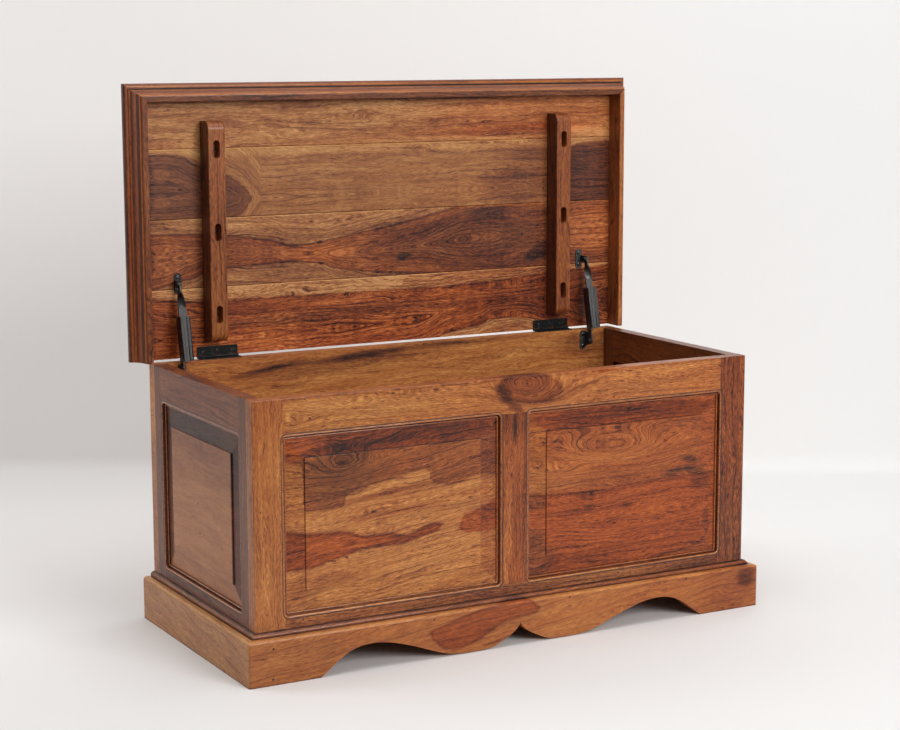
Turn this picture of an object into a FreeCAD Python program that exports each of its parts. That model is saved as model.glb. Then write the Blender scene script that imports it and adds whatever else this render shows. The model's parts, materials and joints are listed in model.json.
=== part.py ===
import FreeCAD, Part
import math
import os

from FreeCAD import Placement, Rotation, Vector

# A wooden blanket chest of framed panels on a scalloped plinth, with its lid open upright.
# X runs along the front, Y from the front to the back, Z up from the floor.

# Body of the chest
body_width = 1000.0
body_depth = 467.0
body_top_height = 478.0
wall_underside_height = 52.0
wall_thickness = 25.0
outer_edge_round = 1.5
front_stile_width = 56.0
centre_stile_width = 57.0
side_stile_cover = 58.0
bottom_rail_width = 56.0
top_rail_width = 64.5
opening_corner_round = 6.0
opening_edge_round = 4.0
groove_depth = 9.0
groove_width = 8.0
groove_setback = 8.5
tenon_length = 20.0
tenon_thickness = 8.0
tenon_shoulder = 6.0
joint_clearance = 0.1

# Raised panels
field_margin = 39.0
field_setback = 2.5
field_step = 2.4
field_edge_round = 1.2
bevel_inset_share = 0.5

# Back wall boards
back_board_count = 3
back_tongue_width = 7.0
back_tongue_height = 6.0

# Floor of the chest
cleat_width = 18.0
cleat_height = 18.0
floor_board_thickness = 12.0
floor_board_count = 4
floor_board_gap = 0.6

# Plinth
plinth_projection = 22.0
plinth_edge_height = 79.0
plinth_edge_round = 6.0
plinth_corner_round = 4.0
plinth_bead_height = 87.5
plinth_bead_projection = 8.0
plinth_quirk_width = 2.5
plinth_quirk_depth = 1.5
plinth_rear_thickness = 20.0
corner_block_width = 45.0
plinth_foot_width = 131.0
arch_height = 46.0
# Right half of the scalloped edge, from the middle point out to the foot:
# shares of the half span and of the arch height.
arch_middle_shares = [
    (0.0, 0.87), (0.03, 0.575), (0.059, 0.41), (0.092, 0.27), (0.146, 0.085),
    (0.2, 0.04), (0.255, 0.033), (0.32, 0.055), (0.386, 0.14), (0.49, 0.45),
    (0.6, 0.775), (0.68, 0.945), (0.745, 1.0), (0.805, 0.96), (0.865, 0.8), (0.93, 0.45), (1.0, 0.0)]

# Lid
lid_travel_degrees = 90.6
lid_rear_gap = 3.0
lid_board_thickness = 18.0
lid_board_count = 4
lid_front_board_width = 97.2
lid_joint_chamfer = 1.6
rim_thickness = 10.5
rim_depth = 39.5
rim_edge_round = 1.2
rim_side_clearance = 3.4
rim_front_clearance = 1.5
moulding_reach = 22.0
moulding_reveal = 4.5
moulding_bead_radius = 3.2
moulding_quirk = 1.3
cove_reach = 7.8
cove_height = 22.0
cove_bow_share = 0.27
fillet_reach = 2.5
fillet_height = 3.0
nose_radius = 6.0
lid_top_round = 15.0

# Battens under the lid
batten_side_margin = 128.0
batten_width = 34.0
batten_depth = 37.0
batten_start = 30.0
batten_front_gap = 35.7
batten_edge_round = 3.0
batten_end_round = 15.0
batten_screw_margin = 51.0
counterbore_width = 13.0
counterbore_length = 33.0
counterbore_depth = 19.0

# Hinges
hinge_side_margin = 136.0
hinge_length = 81.0
hinge_axis_setback = 2.6
hinge_axis_offset = 2.6
leaf_width = 19.0
leaf_thickness = 1.8
leaf_corner_round = 2.0
knuckle_radius = 2.2
knuckle_count = 5
knuckle_gap = 0.3
knuckle_room = 0.5
hinge_pin_radius = 1.1
pin_clearance = 0.05
pin_head_height = 0.8
hinge_screw_share = 0.36
hinge_screw_line_share = 0.58

# Lid stays
stay_side_gap = 34.0
stay_wall_standoff = 18.0
stay_wall_drop = 21.0
stay_lid_standoff = 16.0
stay_lid_rise = 139.0
stay_gap = 0.4
bracket_thickness = 2.0
bracket_width = 14.0
bracket_height = 39.0
bracket_screw_spacing = 24.0
ear_radius = 6.5
wall_ear_rise = 17.0
wall_ear_drop = 13.0
wall_ear_slope = 8.0
stay_pin_radius = 2.5
stay_pin_head_radius = 4.2
stay_pin_head_height = 2.2
stay_pin_head_round = 1.4
housing_start = 25.0
housing_length = 82.0
housing_width = 20.0
housing_depth = 20.0
housing_wall = 1.5
housing_edge_round = 1.0
slot_clearance = 0.8
seam_width = 2.2
seam_depth = 0.7
seam_place_share = 0.12
tab_radius = 7.0
strap_width = 11.0
strap_leaf_width = 15.0
strap_thickness = 3.0
strap_eye_radius = 6.0
strap_eye_offset = 1.5
strap_neck = 12.0
strap_twist_length = 30.0
strap_twist_steps = 8
strap_foot_height = 5.0
strap_foot_cover = 2.0
slide_clearance = 0.3

# Screws
hinge_screw_head_radius = 3.0
hinge_screw_head_height = 1.4
hinge_screw_radius = 1.6
hinge_screw_length = 13.0
stay_screw_head_radius = 3.6
stay_screw_head_height = 2.0
stay_screw_radius = 1.7
stay_screw_length = 13.0
batten_screw_head_radius = 4.5
batten_screw_head_height = 3.0
batten_screw_radius = 2.0
batten_screw_length = 31.0
screw_head_sink = 0.1
recess_width = 0.9
recess_depth = 0.8
recess_span_share = 0.65
screw_tip_room = 0.5

# One overrun for every through cut
cut_overrun = 2.0

# Places worked out from the sizes above
half_width = body_width / 2
rear_reach = body_depth / 2 + hinge_axis_setback + hinge_axis_offset + lid_board_thickness
front_reach = body_depth / 2 + plinth_projection
body_centre_y = (front_reach - rear_reach) / 2
front_y = body_centre_y - body_depth / 2
back_y = body_centre_y + body_depth / 2
inner_front_y = front_y + wall_thickness
inner_back_y = back_y - wall_thickness
inner_half_width = half_width - wall_thickness
axis_y = back_y + hinge_axis_setback
axis_z = body_top_height + hinge_axis_offset
plank_y = axis_y + hinge_axis_offset
lid_rear_z = body_top_height + lid_rear_gap
rim_face_y = plank_y - rim_depth
lid_top_y = plank_y + lid_board_thickness
rim_outer_x = half_width + rim_side_clearance + rim_thickness
rim_inner_length = axis_y - front_y + rim_front_clearance + axis_z - lid_rear_z
rim_front_z = lid_rear_z + rim_inner_length + rim_thickness
opening_bottom_height = wall_underside_height + bottom_rail_width
opening_top_height = body_top_height - top_rail_width
arch_half_span = half_width + plinth_projection - plinth_foot_width
batten_centre = half_width - batten_side_margin
batten_length = rim_inner_length - batten_start - batten_front_gap
batten_screw_spacing = batten_length / 2 - batten_screw_margin
hinge_centre = half_width - hinge_side_margin
stay_centre = inner_half_width - stay_side_gap

os.makedirs("parts", exist_ok=True)


def box(x0, x1, y0, y1, z0, z1):
    return Part.makeBox(x1 - x0, y1 - y0, z1 - z0, Vector(x0, y0, z0))


def cylinder(radius, length, start, direction):
    return Part.makeCylinder(radius, length, start, direction)


def save(name, *solids):
    shape = solids[0] if len(solids) == 1 else Part.makeCompound(list(solids))
    shape.exportStep("parts/" + name + ".step")


def polygon_face(points):
    return Part.Face(Part.makePolygon(points + [points[0]]))


def edges_along(shape, axis):
    found = []
    for edge in shape.Edges:
        bounds = edge.BoundBox
        spans = {"x": bounds.XLength, "y": bounds.YLength, "z": bounds.ZLength}
        across = [spans[name] for name in spans if name != axis]
        if spans[axis] > max(across) and max(across) < joint_clearance:
            found.append(edge)
    return found


def edges_near(shape, test):
    return [edge for edge in shape.Edges if test(edge.BoundBox)]


def close(a, b):
    return abs(a - b) < joint_clearance


# Framed walls: a wall lies on its own X along its length, Y inward from the outer face, Z up.

def window(left, right, front, back):
    shape = box(left, right, front, back, opening_bottom_height, opening_top_height)
    return shape.makeFillet(opening_corner_round, edges_along(shape, "y"))


def framed_wall(half_length, windows, round_ends):
    wall = box(-half_length, half_length, 0, wall_thickness, wall_underside_height, body_top_height)
    rounded = edges_near(wall, lambda b: close(b.YMax, 0) and close(b.ZMin, body_top_height))
    if round_ends:
        rounded += edges_near(wall, lambda b: close(b.YMax, 0) and b.XLength < joint_clearance)
    wall = wall.makeFillet(outer_edge_round, rounded)
    for left, right in windows:
        wall = wall.cut(window(left, right, -cut_overrun, wall_thickness + cut_overrun))
    sharp = edges_near(wall, lambda b: close(b.YMax, 0) and any(
        b.XMin > left - joint_clearance and b.XMax < right + joint_clearance for left, right in windows)
        and b.ZMin > opening_bottom_height - joint_clearance and b.ZMax < opening_top_height + joint_clearance)
    wall = wall.makeFillet(opening_edge_round, sharp)
    for left, right in windows:
        groove = box(left - groove_depth, right + groove_depth, groove_setback, groove_setback + groove_width,
                     opening_bottom_height - groove_depth, opening_top_height + groove_depth)
        wall = wall.cut(groove)
    return wall


def tenon(x0, x1, z0, z1, room):
    middle = wall_thickness / 2
    return box(x0 - room, x1 + room, middle - tenon_thickness / 2 - room, middle + tenon_thickness / 2 + room,
               z0 - room, z1 + room)


def raised_panel(left, right):
    reach = groove_depth - joint_clearance
    tongue_front = groove_setback + joint_clearance
    tongue_back = groove_setback + groove_width - joint_clearance
    low = opening_bottom_height
    high = opening_top_height
    tongue = box(left - reach, right + reach, tongue_front, tongue_back, low - reach, high + reach)
    inset = opening_corner_round * bevel_inset_share
    field_back = field_setback + field_step

    def loop(margin, y):
        corners = [Vector(left + margin, y, low + margin), Vector(right - margin, y, low + margin),
                   Vector(right - margin, y, high - margin), Vector(left + margin, y, high - margin)]
        return Part.makePolygon(corners + [corners[0]])

    bevel = Part.makeLoft([loop(inset, tongue_front), loop(field_margin, field_back)], True, True)
    field = box(left + field_margin, right - field_margin, field_setback, tongue_back,
                low + field_margin, high - field_margin)
    field = field.makeFillet(field_edge_round, edges_near(field, lambda b: close(b.YMax, field_setback)))
    return tongue.fuse([bevel, field]).removeSplitter()


def wall_members(half_length, stile_width, middle_width, round_ends):
    inner = half_length - stile_width
    if middle_width > 0:
        windows = [(-inner, -middle_width / 2), (middle_width / 2, inner)]
    else:
        windows = [(-inner, inner)]
    wall = framed_wall(half_length, windows, round_ends)
    front = -cut_overrun
    back = wall_thickness + cut_overrun
    low = wall_underside_height - cut_overrun
    high = body_top_height + cut_overrun
    members = {}
    members["left_stile"] = wall.common(box(-half_length - cut_overrun, -inner, front, back, low, high))
    members["right_stile"] = wall.common(box(inner, half_length + cut_overrun, front, back, low, high))
    rail_zone_top = box(-inner, inner, front, back, opening_top_height - opening_corner_round, high)
    rail_zone_bottom = box(-inner, inner, front, back, low, opening_bottom_height + opening_corner_round)
    if middle_width > 0:
        middle_zone = box(-middle_width / 2, middle_width / 2, front, back, opening_bottom_height,
                          opening_top_height)
        members["middle_stile"] = wall.common(middle_zone)
        rail_zone_top = rail_zone_top.cut(middle_zone)
        rail_zone_bottom = rail_zone_bottom.cut(middle_zone)
    top_rail = wall.common(rail_zone_top)
    bottom_rail = wall.common(rail_zone_bottom)
    clear = groove_depth + tenon_shoulder
    rail_tenons = {
        "top": (opening_top_height + clear, body_top_height - tenon_shoulder),
        "bottom": (wall_underside_height + tenon_shoulder, opening_bottom_height - clear)}
    for key, (z0, z1) in rail_tenons.items():
        left = (-inner - tenon_length, -inner, z0, z1)
        right = (inner, inner + tenon_length, z0, z1)
        members["left_stile"] = members["left_stile"].cut(tenon(*left, joint_clearance))
        members["right_stile"] = members["right_stile"].cut(tenon(*right, joint_clearance))
        if key == "top":
            top_rail = top_rail.fuse([tenon(*left, 0), tenon(*right, 0)])
        else:
            bottom_rail = bottom_rail.fuse([tenon(*left, 0), tenon(*right, 0)])
    if middle_width > 0:
        half = middle_width / 2 - clear
        upper = (-half, half, opening_top_height, opening_top_height + tenon_length)
        lower = (-half, half, opening_bottom_height - tenon_length, opening_bottom_height)
        members["middle_stile"] = members["middle_stile"].fuse([tenon(*upper, 0), tenon(*lower, 0)]).removeSplitter()
        top_rail = top_rail.cut(tenon(*upper, joint_clearance))
        bottom_rail = bottom_rail.cut(tenon(*lower, joint_clearance))
    members["top_rail"] = top_rail.removeSplitter()
    members["bottom_rail"] = bottom_rail.removeSplitter()
    members["panels"] = [raised_panel(left, right) for left, right in windows]
    return members


def placed(shape, placement):
    copy = shape.copy()
    copy.Placement = placement.multiply(copy.Placement)
    return copy


front_place = Placement(Vector(0, front_y, 0), Rotation())
front = wall_members(half_width, front_stile_width, centre_stile_width, True)
save("front_left_stile", placed(front["left_stile"], front_place))
save("front_right_stile", placed(front["right_stile"], front_place))
save("front_centre_stile", placed(front["middle_stile"], front_place))
save("front_top_rail", placed(front["top_rail"], front_place))
save("front_bottom_rail", placed(front["bottom_rail"], front_place))
save("front_left_panel", placed(front["panels"][0], front_place))
save("front_right_panel", placed(front["panels"][1], front_place))

up = Vector(0, 0, 1)
side = wall_members(body_depth / 2 - wall_thickness, side_stile_cover - wall_thickness, 0, False)
side_places = {
    "left": (Placement(Vector(-half_width, body_centre_y, 0), Rotation(up, -90)), "right_stile", "left_stile"),
    "right": (Placement(Vector(half_width, body_centre_y, 0), Rotation(up, 90)), "left_stile", "right_stile")}
for hand, (place, front_key, rear_key) in side_places.items():
    save(hand + "_front_stile", placed(side[front_key], place))
    save(hand + "_rear_stile", placed(side[rear_key], place))
    save(hand + "_top_rail", placed(side["top_rail"], place))
    save(hand + "_bottom_rail", placed(side["bottom_rail"], place))
    save(hand + "_panel", placed(side["panels"][0], place))


# Screws, with the head's top at the origin and the point downward

def recess(head_radius, top):
    span = head_radius * recess_span_share
    bottom = top - recess_depth
    first = box(-span, span, -recess_width / 2, recess_width / 2, bottom, top + cut_overrun)
    second = box(-recess_width / 2, recess_width / 2, -span, span, bottom, top + cut_overrun)
    return first.fuse(second)


def flush_screw(head_radius, head_height, radius, length):
    head = Part.makeCone(radius, head_radius, head_height, Vector(0, 0, -head_height))
    shank = cylinder(radius, length, Vector(0, 0, -length), up)
    return head.fuse(shank).removeSplitter().cut(recess(head_radius, 0))


def flush_hole(head_radius, head_height, radius):
    wide = head_radius + joint_clearance
    narrow = radius + joint_clearance
    head = Part.makeCone(narrow, wide, head_height, Vector(0, 0, -head_height))
    shank = cylinder(narrow, cut_overrun + head_height, Vector(0, 0, -head_height - cut_overrun), up)
    mouth = cylinder(wide, cut_overrun, Vector(0, 0, 0), up)
    return head.fuse([shank, mouth])


def round_screw(head_radius, head_height, radius, length):
    head = cylinder(head_radius, head_height, Vector(0, 0, 0), up)
    head = head.makeFillet(head_height / 2, edges_near(head, lambda b: close(b.ZMin, head_height)))
    shank = cylinder(radius, length, Vector(0, 0, -length), up)
    return head.fuse(shank).removeSplitter().cut(recess(head_radius, head_height))


def screw_bore(radius, length):
    room = length + screw_tip_room
    return cylinder(radius + joint_clearance, room, Vector(0, 0, -room), up)


facing_front = Rotation(Vector(1, 0, 0), 90)


# Hinges: a leaf on the back wall's top edge and a leaf on the lid's boards, turning on a pin

def knuckle_spans(centre):
    pitch = hinge_length / knuckle_count
    start = centre - hinge_length / 2
    spans = []
    for index in range(knuckle_count):
        spans.append((start + index * pitch + knuckle_gap / 2, start + (index + 1) * pitch - knuckle_gap / 2))
    return spans


def hinge_leaf(centre, own_first):
    # The leaf lies flat with its face at the offset below the axis, the axis along X at the origin.
    left = centre - hinge_length / 2
    right = centre + hinge_length / 2
    top = leaf_thickness - hinge_axis_offset
    plate = box(left, right, -leaf_width, 0, -hinge_axis_offset, top)
    corners = edges_near(plate, lambda b: close(b.YMax, -leaf_width) and b.XLength < joint_clearance)
    plate = plate.makeFillet(leaf_corner_round, corners)
    room = knuckle_radius + knuckle_room
    knuckles = []
    for index, (x0, x1) in enumerate(knuckle_spans(centre)):
        if (index % 2 == 0) == own_first:
            knuckles.append(cylinder(knuckle_radius, x1 - x0, Vector(x0, 0, 0), Vector(1, 0, 0)))
        else:
            plate = plate.cut(box(x0 - knuckle_gap, x1 + knuckle_gap, -room, cut_overrun,
                                  -hinge_axis_offset - cut_overrun, top + cut_overrun))
    leaf = plate.fuse(knuckles).removeSplitter()
    bore = cylinder(hinge_pin_radius + pin_clearance, hinge_length + cut_overrun * 2,
                    Vector(left - cut_overrun, 0, 0), Vector(1, 0, 0))
    leaf = leaf.cut(bore)
    for x in hinge_screw_places(centre):
        hole = flush_hole(hinge_screw_head_radius, hinge_screw_head_height, hinge_screw_radius)
        hole.translate(Vector(x, -leaf_width * hinge_screw_line_share, top))
        leaf = leaf.cut(hole)
    return leaf


def hinge_screw_places(centre):
    return [centre + hinge_length * share for share in (-hinge_screw_share, 0, hinge_screw_share)]


wall_leaf_place = Placement(Vector(0, axis_y, axis_z), Rotation())
# The lid's leaf is the same leaf turned over and stood up against the boards.
lid_leaf_place = Placement(Vector(0, axis_y, axis_z), Rotation(Vector(1, 0, 0), -90)).multiply(
    Placement(Vector(0, 0, 0), Rotation(Vector(0, 1, 0), 180)))
hinge_wall_screws = []
hinge_lid_screws = []
back_bores = []
lid_bores = []
leaf_top = leaf_thickness - hinge_axis_offset
for hand, sign in (("left", -1), ("right", 1)):
    centre = sign * hinge_centre
    save(hand + "_hinge_wall_leaf", placed(hinge_leaf(centre, True), wall_leaf_place))
    save(hand + "_hinge_lid_leaf", placed(hinge_leaf(-centre, False), lid_leaf_place))
    pin_start = Vector(centre - hinge_length / 2 - pin_head_height, axis_y, axis_z)
    pin = cylinder(hinge_pin_radius, hinge_length + pin_head_height * 2, pin_start, Vector(1, 0, 0))
    for x in (pin_start.x, centre + hinge_length / 2):
        pin = pin.fuse(cylinder(knuckle_radius, pin_head_height, Vector(x, axis_y, axis_z), Vector(1, 0, 0)))
    save(hand + "_hinge_pin", pin.removeSplitter())
    for x in hinge_screw_places(centre):
        screw = flush_screw(hinge_screw_head_radius, hinge_screw_head_height, hinge_screw_radius,
                            hinge_screw_length)
        bore = screw_bore(hinge_screw_radius, hinge_screw_length)
        line = leaf_width * hinge_screw_line_share
        on_wall = Placement(Vector(x, axis_y - line, axis_z + leaf_top - screw_head_sink), Rotation())
        on_lid = Placement(Vector(x, axis_y - leaf_top + screw_head_sink, axis_z + line), facing_front)
        hinge_wall_screws.append(placed(screw, on_wall))
        hinge_lid_screws.append(placed(screw, on_lid))
        back_bores.append(placed(bore, on_wall))
        lid_bores.append(placed(bore, on_lid))
save("hinge_wall_screws", *hinge_wall_screws)
save("hinge_lid_screws", *hinge_lid_screws)

# Lid stays: a wall bracket, a housing that turns on it, an arm that slides in the housing, a lid bracket
wall_pivot_y = inner_back_y - stay_wall_standoff
wall_pivot_z = body_top_height - stay_wall_drop
lid_pivot_y = plank_y - stay_lid_standoff
lid_pivot_z = lid_rear_z + stay_lid_rise
stay_length = math.hypot(lid_pivot_y - wall_pivot_y, lid_pivot_z - wall_pivot_z)
stay_lean = math.degrees(math.atan2(lid_pivot_y - wall_pivot_y, lid_pivot_z - wall_pivot_z))
ear_to_edge = housing_width / 2 + stay_gap + bracket_thickness
lid_ear_offset = strap_eye_offset + strap_thickness / 2 + stay_gap + bracket_thickness
shut_turn = Rotation(Vector(1, 0, 0), lid_travel_degrees)
shut_arm = shut_turn.multVec(Vector(0, lid_pivot_y - axis_y, lid_pivot_z - axis_z))
shut_length = math.hypot(axis_y + shut_arm.y - wall_pivot_y, axis_z + shut_arm.z - wall_pivot_z)


def rivet_head(x, y, z, direction):
    head = cylinder(stay_pin_head_radius, stay_pin_head_height, Vector(0, 0, 0), up)
    head = head.makeFillet(stay_pin_head_round, edges_near(head, lambda b: close(b.ZMin, stay_pin_head_height)))
    return placed(head, Placement(Vector(x, y, z), Rotation(up, Vector(direction, 0, 0))))


def round_ear(ear_x, face_y, pivot_y, pivot_z):
    ear = box(ear_x, ear_x + bracket_thickness, pivot_y, face_y, pivot_z - ear_radius, pivot_z + ear_radius)
    tip = cylinder(ear_radius, bracket_thickness, Vector(ear_x, pivot_y, pivot_z), Vector(1, 0, 0))
    return ear.fuse(tip)


def tall_ear(ear_x, face_y, pivot_y, pivot_z):
    # Upright in front, with its lower edge sloping up away from the wall.
    front_y = pivot_y - ear_radius
    outline = [(front_y, wall_ear_rise), (face_y, wall_ear_rise), (face_y, -wall_ear_drop),
               (front_y, wall_ear_slope - wall_ear_drop)]
    points = [Vector(ear_x, y, pivot_z + z) for y, z in outline]
    ear = Part.Face(Part.makePolygon(points + points[:1])).extrude(Vector(bracket_thickness, 0, 0))
    return ear.makeFillet(bracket_thickness, edges_near(ear, lambda b: close(b.YMin, front_y) and close(b.YMax, front_y)
                                                       and close(b.XLength, bracket_thickness)))


def bracket(make_ear, ear_x, plate_sign, face_y, pivot_y, pivot_z):
    # A round-ended plate on the face, with an ear bent forward from one of its long edges.
    plate_x = ear_x if plate_sign > 0 else ear_x + bracket_thickness - bracket_width
    half = bracket_height / 2
    plate = box(plate_x, plate_x + bracket_width, face_y - bracket_thickness, face_y, pivot_z - half,
                pivot_z + half)
    plate = plate.makeFillet(bracket_width / 2 - joint_clearance, edges_along(plate, "y"))
    shape = plate.fuse(make_ear(ear_x, face_y, pivot_y, pivot_z)).removeSplitter()
    screws = []
    bores = []
    for z in (pivot_z - bracket_screw_spacing / 2, pivot_z + bracket_screw_spacing / 2):
        place = Placement(Vector(plate_x + bracket_width / 2, face_y - bracket_thickness, z), facing_front)
        hole = cylinder(stay_screw_radius + joint_clearance, bracket_thickness + cut_overrun,
                        Vector(0, 0, -bracket_thickness - cut_overrun / 2), up)
        shape = shape.cut(placed(hole, place))
        screws.append(placed(round_screw(stay_screw_head_radius, stay_screw_head_height, stay_screw_radius,
                                         stay_screw_length), place))
        bores.append(placed(screw_bore(stay_screw_radius, stay_screw_length), place))
    return shape, screws, bores


def stay_housing():
    # Along the stay's own line: the pivot at the origin, Z toward the lid, X across.
    half = housing_width / 2
    deep = housing_depth / 2
    end = housing_start + housing_length
    tube = box(-half, half, -deep, deep, housing_start, end)
    tube = tube.makeFillet(housing_edge_round, edges_along(tube, "z"))
    seam_x = -half + housing_width * (1 - seam_place_share * 2)
    seam = box(seam_x - seam_width, seam_x, -deep - cut_overrun, -deep + seam_depth, housing_start - cut_overrun,
               end + cut_overrun)
    tube = tube.cut(seam)
    seam.translate(Vector(-housing_width / 2 + seam_width / 2, 0, 0))
    tube = tube.cut(seam)
    hollow = box(-half + housing_wall, half - housing_wall, -deep + housing_wall, deep - housing_wall,
                 housing_start - cut_overrun, end + cut_overrun)
    tab = box(-half, -half + housing_wall, -tab_radius, tab_radius, 0, housing_start + housing_wall)
    tip = cylinder(tab_radius, housing_wall, Vector(-half, 0, 0), Vector(1, 0, 0))
    hole = cylinder(stay_pin_radius + pin_clearance, housing_wall + cut_overrun * 2,
                    Vector(-half - cut_overrun, 0, 0), Vector(1, 0, 0))
    # A slot at the back of the upper end takes the lid bracket's ear when the lid is shut.
    slot_x = -lid_ear_offset - stay_pin_head_height - slot_clearance
    slot = box(slot_x, bracket_thickness + slot_clearance - lid_ear_offset, 0, deep + cut_overrun,
               shut_length - ear_radius - slot_clearance, end + cut_overrun)
    return tube.cut([hollow, slot]).fuse([tab, tip]).removeSplitter().cut(hole)


def stay_arm():
    # The eye stands across X at the lid's pivot; the strap then twists a quarter turn into the housing.
    eye_x = -strap_eye_offset
    thick = strap_thickness / 2
    eye = cylinder(strap_eye_radius, strap_thickness, Vector(eye_x - thick, 0, stay_length), Vector(1, 0, 0))
    twist_top = stay_length - strap_neck
    neck = box(eye_x - thick, eye_x + thick, -strap_width / 2, strap_width / 2, twist_top, stay_length)
    loops = []
    for step in range(strap_twist_steps + 1):
        share = step / strap_twist_steps
        turn = math.radians(90 * share)
        height = twist_top - strap_twist_length * share
        corners = []
        width = strap_width + (strap_leaf_width - strap_width) * share
        for across, along in ((-1, -1), (1, -1), (1, 1), (-1, 1)):
            x = across * thick
            y = along * width / 2
            corners.append(Vector(eye_x * (1 - share) + x * math.cos(turn) - y * math.sin(turn),
                                  x * math.sin(turn) + y * math.cos(turn), height))
        loops.append(Part.makePolygon(corners + [corners[0]]))
    twist = Part.makeLoft(loops, True, True)
    foot_top = housing_start + housing_length - strap_foot_cover
    foot_bottom = foot_top - strap_foot_height
    twist_bottom = twist_top - strap_twist_length
    strap = box(-strap_leaf_width / 2, strap_leaf_width / 2, -thick, thick, foot_bottom, twist_bottom)
    foot_x = housing_width / 2 - housing_wall - slide_clearance
    foot_y = housing_depth / 2 - housing_wall - slide_clearance
    foot = box(-foot_x, foot_x, -foot_y, foot_y, foot_bottom, foot_top)
    head = rivet_head(eye_x + thick, 0, stay_length, 1)
    return eye.fuse([neck, twist, strap, foot, head]).removeSplitter()


stay_wall_screws = []
stay_lid_screws = []
for hand, sign in (("left", -1), ("right", 1)):
    centre = sign * stay_centre
    stay_place = Placement(Vector(centre, wall_pivot_y, wall_pivot_z), Rotation(Vector(1, 0, 0), -stay_lean))
    save(hand + "_stay_housing", placed(stay_housing(), stay_place))
    save(hand + "_stay_arm", placed(stay_arm(), stay_place))
    wall_ear_x = centre - ear_to_edge
    wall_bracket, screws, bores = bracket(tall_ear, wall_ear_x, -sign, inner_back_y, wall_pivot_y, wall_pivot_z)
    pin_end = wall_ear_x + bracket_thickness + stay_gap * 2 + housing_wall
    pin = cylinder(stay_pin_radius, pin_end - wall_ear_x, Vector(wall_ear_x, wall_pivot_y, wall_pivot_z),
                   Vector(1, 0, 0))
    heads = [rivet_head(wall_ear_x, wall_pivot_y, wall_pivot_z, -1),
             rivet_head(pin_end, wall_pivot_y, wall_pivot_z, 1)]
    save(hand + "_stay_wall_bracket", wall_bracket.fuse([pin] + heads).removeSplitter())
    stay_wall_screws += screws
    back_bores += bores
    lid_ear_x = centre - lid_ear_offset
    lid_bracket, screws, bores = bracket(round_ear, lid_ear_x, -sign, plank_y, lid_pivot_y, lid_pivot_z)
    head = rivet_head(lid_ear_x, lid_pivot_y, lid_pivot_z, -1)
    save(hand + "_stay_lid_bracket", lid_bracket.fuse(head).removeSplitter())
    stay_lid_screws += screws
    lid_bores += bores
save("stay_wall_screws", *stay_wall_screws)
save("stay_lid_screws", *stay_lid_screws)

# Back wall of tongued and grooved boards
board_height = (body_top_height - wall_underside_height) / back_board_count
tongue_middle = back_y - wall_thickness / 2
for index, name in enumerate(("back_lower_board", "back_middle_board", "back_upper_board")):
    low = wall_underside_height + index * board_height
    board = box(-half_width, half_width, inner_back_y, back_y, low, low + board_height)
    half = back_tongue_width / 2
    if index < back_board_count - 1:
        board = board.fuse(box(-half_width, half_width, tongue_middle - half, tongue_middle + half,
                               low + board_height, low + board_height + back_tongue_height)).removeSplitter()
    else:
        rounded = edges_near(board, lambda b: close(b.YMin, back_y) and close(b.ZMin, body_top_height))
        board = board.makeFillet(outer_edge_round, rounded)
        for bore in back_bores:
            board = board.cut(bore)
    if index > 0:
        wide = half + joint_clearance
        board = board.cut(box(-half_width - cut_overrun, half_width + cut_overrun, tongue_middle - wide,
                              tongue_middle + wide, low - cut_overrun, low + back_tongue_height + joint_clearance))
    save(name, board)

# Floor boards on cleats
cleat_top = wall_underside_height + cleat_height
cleats = []
for y in (inner_front_y, inner_back_y - cleat_width):
    cleats.append(box(-inner_half_width, inner_half_width, y, y + cleat_width, wall_underside_height, cleat_top))
for x in (-inner_half_width, inner_half_width - cleat_width):
    cleats.append(box(x, x + cleat_width, inner_front_y + cleat_width, inner_back_y - cleat_width,
                      wall_underside_height, cleat_top))
save("bottom_cleats", *cleats)
floor_boards = []
floor_depth = inner_back_y - inner_front_y
floor_width = (floor_depth - floor_board_gap * (floor_board_count + 1)) / floor_board_count
for index in range(floor_board_count):
    y = inner_front_y + floor_board_gap + index * (floor_width + floor_board_gap)
    floor_boards.append(box(-inner_half_width + floor_board_gap, inner_half_width - floor_board_gap, y,
                            y + floor_width, cleat_top, cleat_top + floor_board_thickness))
save("bottom_boards", *floor_boards)


# Plinth boards with a moulded top edge, mitred at the front corners

def outline_face(pieces):
    edges = []
    for points in pieces:
        if len(points) == 2:
            edges.append(Part.makeLine(points[0], points[1]))
        else:
            edges.append(Part.Arc(points[0], points[1], points[2]).toShape())
    return Part.Face(Part.Wire(Part.__sortEdges__(edges)))


diagonal_share = math.sqrt(0.5)


def plinth_section(point):
    # point(projection, height) gives the place of a corner of the section
    edge = plinth_edge_height
    turn = plinth_edge_round * (1 - diagonal_share)
    bead = plinth_bead_projection
    quirk = bead + plinth_quirk_width
    bead_base = plinth_bead_height - bead
    bead_low = edge - plinth_quirk_depth
    return outline_face([
        (point(0, 0), point(plinth_projection, 0)),
        (point(plinth_projection, 0), point(plinth_projection, edge - plinth_edge_round)),
        (point(plinth_projection, edge - plinth_edge_round), point(plinth_projection - turn, edge - turn),
         point(plinth_projection - plinth_edge_round, edge)),
        (point(plinth_projection - plinth_edge_round, edge), point(quirk, edge)),
        (point(quirk, edge), point(quirk, bead_low)),
        (point(quirk, bead_low), point(bead, bead_low)),
        (point(bead, bead_low), point(bead, bead_base)),
        (point(bead, bead_base), point(bead * diagonal_share, bead_base + bead * diagonal_share),
         point(0, plinth_bead_height)),
        (point(0, plinth_bead_height), point(0, 0))])


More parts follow.
